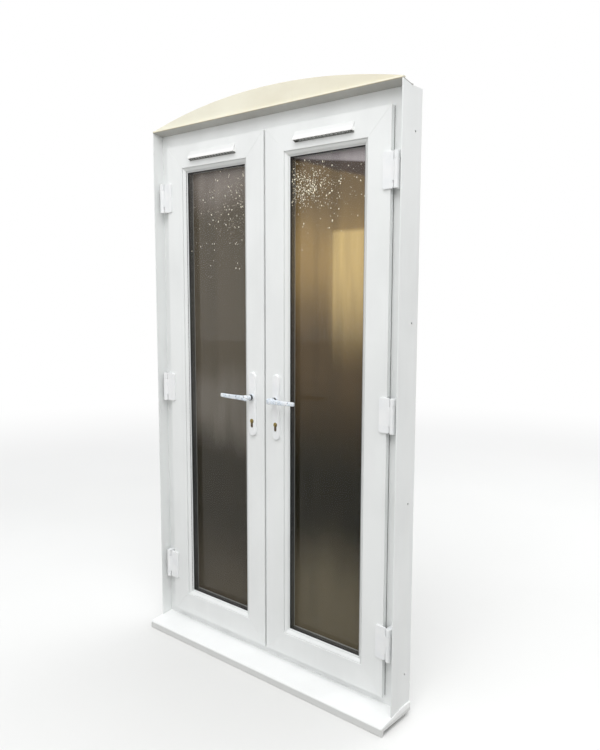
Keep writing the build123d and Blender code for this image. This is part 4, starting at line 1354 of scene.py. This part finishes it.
@dataclass
class Rain:
    """Drops on the outer panes, thickest below their tops."""

    seed: int = 7
    smallest: float = 0.0008
    largest: float = 0.0024
    flatness: float = 0.38
    pane_inset: float = 0.0185
    rarity: float = 2.5
    sag: float = 0.4
    cut: float = 0.04
    showers: tuple[Shower, ...] = (
        Shower(Side.RIGHT, 600, 0.2, 0.16, 0.1, 0.038),
        Shower(Side.RIGHT, 170, 0.5, 0.3, 0.14, 0.07),
        Shower(Side.LEFT, 260, 0.88, 0.2, 0.13, 0.09),
        Shower(Side.LEFT, 110, 0.5, 0.3, 0.2, 0.11),
    )

    def pattern(self) -> Piece:
        """Model one drop as the outdoor half of a flattened ball.

        Returns:
            The drop, one metre in radius at the origin.
        """
        drop = Bench.start(
            bpy.ops.mesh.primitive_uv_sphere_add, "rain_drop_pattern", (1.0, self.flatness, 1.0),
            segments=9, ring_count=6, radius=1.0,
        )
        Bench.open(drop)
        bpy.ops.mesh.select_all(action="SELECT")
        bpy.ops.mesh.bisect(
            plane_co=(0, self.cut, 0), plane_no=(0, 1, 0), clear_outer=True, use_fill=True
        )
        Bench.close()
        Bench.smooth(drop, 60.0)
        return drop

    def scatter(self, shower: Shower, drop: Piece, chance: random.Random) -> list[Piece]:
        """Spread the drops of one shower, leaving out those that would miss the glass.

        Args:
            shower: Where the drops lie.
            drop: The pattern of a drop.
            chance: The seeded source of places and sizes.

        Returns:
            The drops.
        """
        gasket_low, gasket_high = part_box(shower.side.node("glazing_gasket"))
        edge = self.rim(shower.side)
        left, right = gasket_low.x + edge, gasket_high.x - edge
        top = gasket_high.z - edge
        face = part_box(shower.side.node("glass_panes"))[0].y
        drops = []
        for index in range(shower.count):
            size = self.smallest + (self.largest - self.smallest) * chance.random() ** self.rarity
            across = left + (right - left) * chance.gauss(shower.across, shower.spread)
            down = chance.gauss(shower.down, shower.fall)
            stretch = Matrix.Diagonal((size, size, size * (1.0 + self.sag * chance.random()), 1.0))
            if not left < across < right or down < 0.0:
                continue
            place = Matrix.Translation((across, face, top - down))
            drops.append(Bench.copy_of(drop, f"drop_{len(drops)}_{index}", place @ stretch))
        return drops

    def rim(self, side: Side) -> float:
        """Width that stays dry at each edge of a pane, from the gasket's outer edge.

        Args:
            side: The leaf.

        Returns:
            The width.
        """
        gasket_low, gasket_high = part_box(side.node("glazing_gasket"))
        glass_low, glass_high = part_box(side.node("glass_panes"))
        return max(glass_low.x - gasket_low.x, gasket_high.x - glass_high.x) + self.pane_inset

    def build(self) -> None:
        """Wet both panes."""
        drop = self.pattern()
        for side in Side:
            chance = random.Random(self.seed + side.value)
            drops = []
            for shower in self.showers:
                if shower.side is side:
                    drops += self.scatter(shower, drop, chance)
            rain = Bench.join(side.node("rain_drops"), *drops)
            Bench.mount(rain, side.node("leaf"), WATER)
        bpy.data.objects.remove(drop)


def seen_directly(graph: Graph) -> Number:
    """1 for rays that come from the camera, gloss or glass, and 0 for those that only carry light.

    Args:
        graph: The node tree that asks.

    Returns:
        The rays' share.
    """
    paths = graph.node("ShaderNodeLightPath", {}, {})
    seen = Number(graph, paths.outputs["Is Camera Ray"])
    for ray in ("Is Glossy Ray", "Is Transmission Ray"):
        seen = seen.maths("MAXIMUM", seen, Number(graph, paths.outputs[ray]))
    return seen


@dataclass(frozen=True)
class Lamp:
    """A soft lamp: where it hangs, the length of its side and its share of the key power."""

    name: str
    place: Size
    size: float
    share: float


@dataclass
class Studio:
    """Camera, lamps, floor and surroundings."""

    camera_place: Size = (1.7868, -1.9441, 1.4416)
    camera_turn: Size = (83.31, -0.15, 40.06)
    lens: float = 42.34
    sensor: float = 36.0
    aim: Size = (0.0, 0.0, 1.0)
    floor_height: float = -0.0155
    horizon: float = 0.44
    zenith: float = 1.12
    key_power: float = 104.0
    floor_side: float = 40.0
    pale_from: float = 2.2
    pale_to: float = 7.0
    floor_pale: Colour = shade(232, 232, 230)
    floor_grey: Colour = shade(226, 226, 224)
    floor_bounce: Colour = shade(164, 162, 158)
    sky_tint: Colour = (0.97, 0.98, 1.0, 1.0)
    lamps: tuple[Lamp, ...] = (
        Lamp("sky", (1.5, -2.5, 4.7), 3.2, 1.0),
        Lamp("yard", (-2.6, -3.2, 2.2), 2.6, 0.17),
        Lamp("room", (0.6, 3.4, 3.4), 3.0, 0.4),
        Lamp("street", (4.4, -1.5, 2.2), 2.4, 0.22),
    )

    def build(self) -> None:
        """Set up the camera, the lamps, the floor and the world."""
        self.set_camera()
        for lamp in self.lamps:
            self.add_lamp(lamp)
        self.lay_floor()
        self.light_world()
        bpy.context.scene.view_settings.view_transform = "Standard"

    def set_camera(self) -> None:
        """Put the camera where the photograph was taken from."""
        data = bpy.data.cameras.new("camera")
        data.sensor_fit = "HORIZONTAL"
        data.sensor_width = self.sensor
        data.lens = self.lens
        camera = bpy.data.objects.new("camera", data)
        camera.location = self.camera_place
        camera.rotation_euler = Euler([math.radians(angle) for angle in self.camera_turn], "XYZ")
        bpy.context.scene.collection.objects.link(camera)
        bpy.context.scene.camera = camera

    def add_lamp(self, lamp: Lamp) -> None:
        """Add a square soft lamp that points at the middle of the doors.

        Args:
            lamp: The lamp's place, size and share of the power.
        """
        data = bpy.data.lights.new(lamp.name, "AREA")
        data.shape = "SQUARE"
        data.size = lamp.size
        data.energy = self.key_power * lamp.share
        hung = bpy.data.objects.new(lamp.name, data)
        hung.location = lamp.place
        aim = Vector(self.aim) - Vector(lamp.place)
        hung.rotation_euler = aim.to_track_quat("-Z", "Y").to_euler()
        bpy.context.scene.collection.objects.link(hung)

    def lay_floor(self) -> None:
        """Lay a wide pale floor just under the cill's nose, which turns white with distance."""
        bpy.ops.object.select_all(action="DESELECT")
        bpy.ops.mesh.primitive_plane_add(size=self.floor_side, location=(0.0, 0.0, self.floor_height))
        floor = bpy.context.object
        floor.name = "floor"
        shader = Shader("pale floor")
        patches = shader.noise((0.8, 0.8, 0.8), 2.0)
        pale = shader.blend(patches, self.floor_pale, self.floor_grey)
        shader.dress({
            "Base Color": shader.blend(seen_directly(shader), self.floor_bounce, pale),
            "Roughness": 0.9,
        })
        length = shader.node("ShaderNodeVectorMath", {"operation": "LENGTH"}, {0: shader.place})
        far = Number(shader, length.outputs["Value"]).ramp(self.pale_from, self.pale_to)
        white = shader.node("ShaderNodeEmission", {}, {"Color": WHITE_LIGHT, "Strength": 1.0})
        mixed = shader.node(
            "ShaderNodeMixShader", {},
            {0: far * seen_directly(shader), 1: shader.surface.outputs[0], 2: white.outputs[0]},
        )
        shader.feed(shader.tree.nodes["Material Output"].inputs["Surface"], mixed.outputs[0])
        floor.data.materials.append(shader.material)

    def light_world(self) -> None:
        """Light the doors evenly, and show white where the camera, gloss and glass look past them."""
        world = bpy.data.worlds.new("surroundings")
        world.use_nodes = True
        bpy.context.scene.world = world
        graph = Graph(world.node_tree)
        place = graph.node("ShaderNodeTexCoord", {}, {}).outputs["Generated"]
        upward = Number(graph, graph.node("ShaderNodeSeparateXYZ", {}, {0: place}).outputs["Z"])
        strength = self.horizon + upward.ramp(0.0, 1.0) * (self.zenith - self.horizon)
        dim = graph.node("ShaderNodeBackground", {}, {"Color": self.sky_tint, "Strength": strength})
        white = graph.node("ShaderNodeBackground", {}, {"Color": WHITE_LIGHT, "Strength": 1.0})
        mixed = graph.node(
            "ShaderNodeMixShader", {}, {0: seen_directly(graph), 1: dim.outputs[0], 2: white.outputs[0]}
        )
        graph.feed(world.node_tree.nodes["World Output"].inputs["Surface"], mixed.outputs[0])


def main() -> None:
    """Build every sub-assembly in order."""
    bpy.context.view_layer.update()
    Studio().build()
    Frame().build()
    for side in Side:
        Leaf(side).build()
    Hinges().build()
    Levers().build()
    Locks().build()
    Vents().build()
    Rain().build()


if __name__ == "__main__":
    logging.basicConfig(level=logging.INFO, format="%(name)s: %(message)s")
    main()
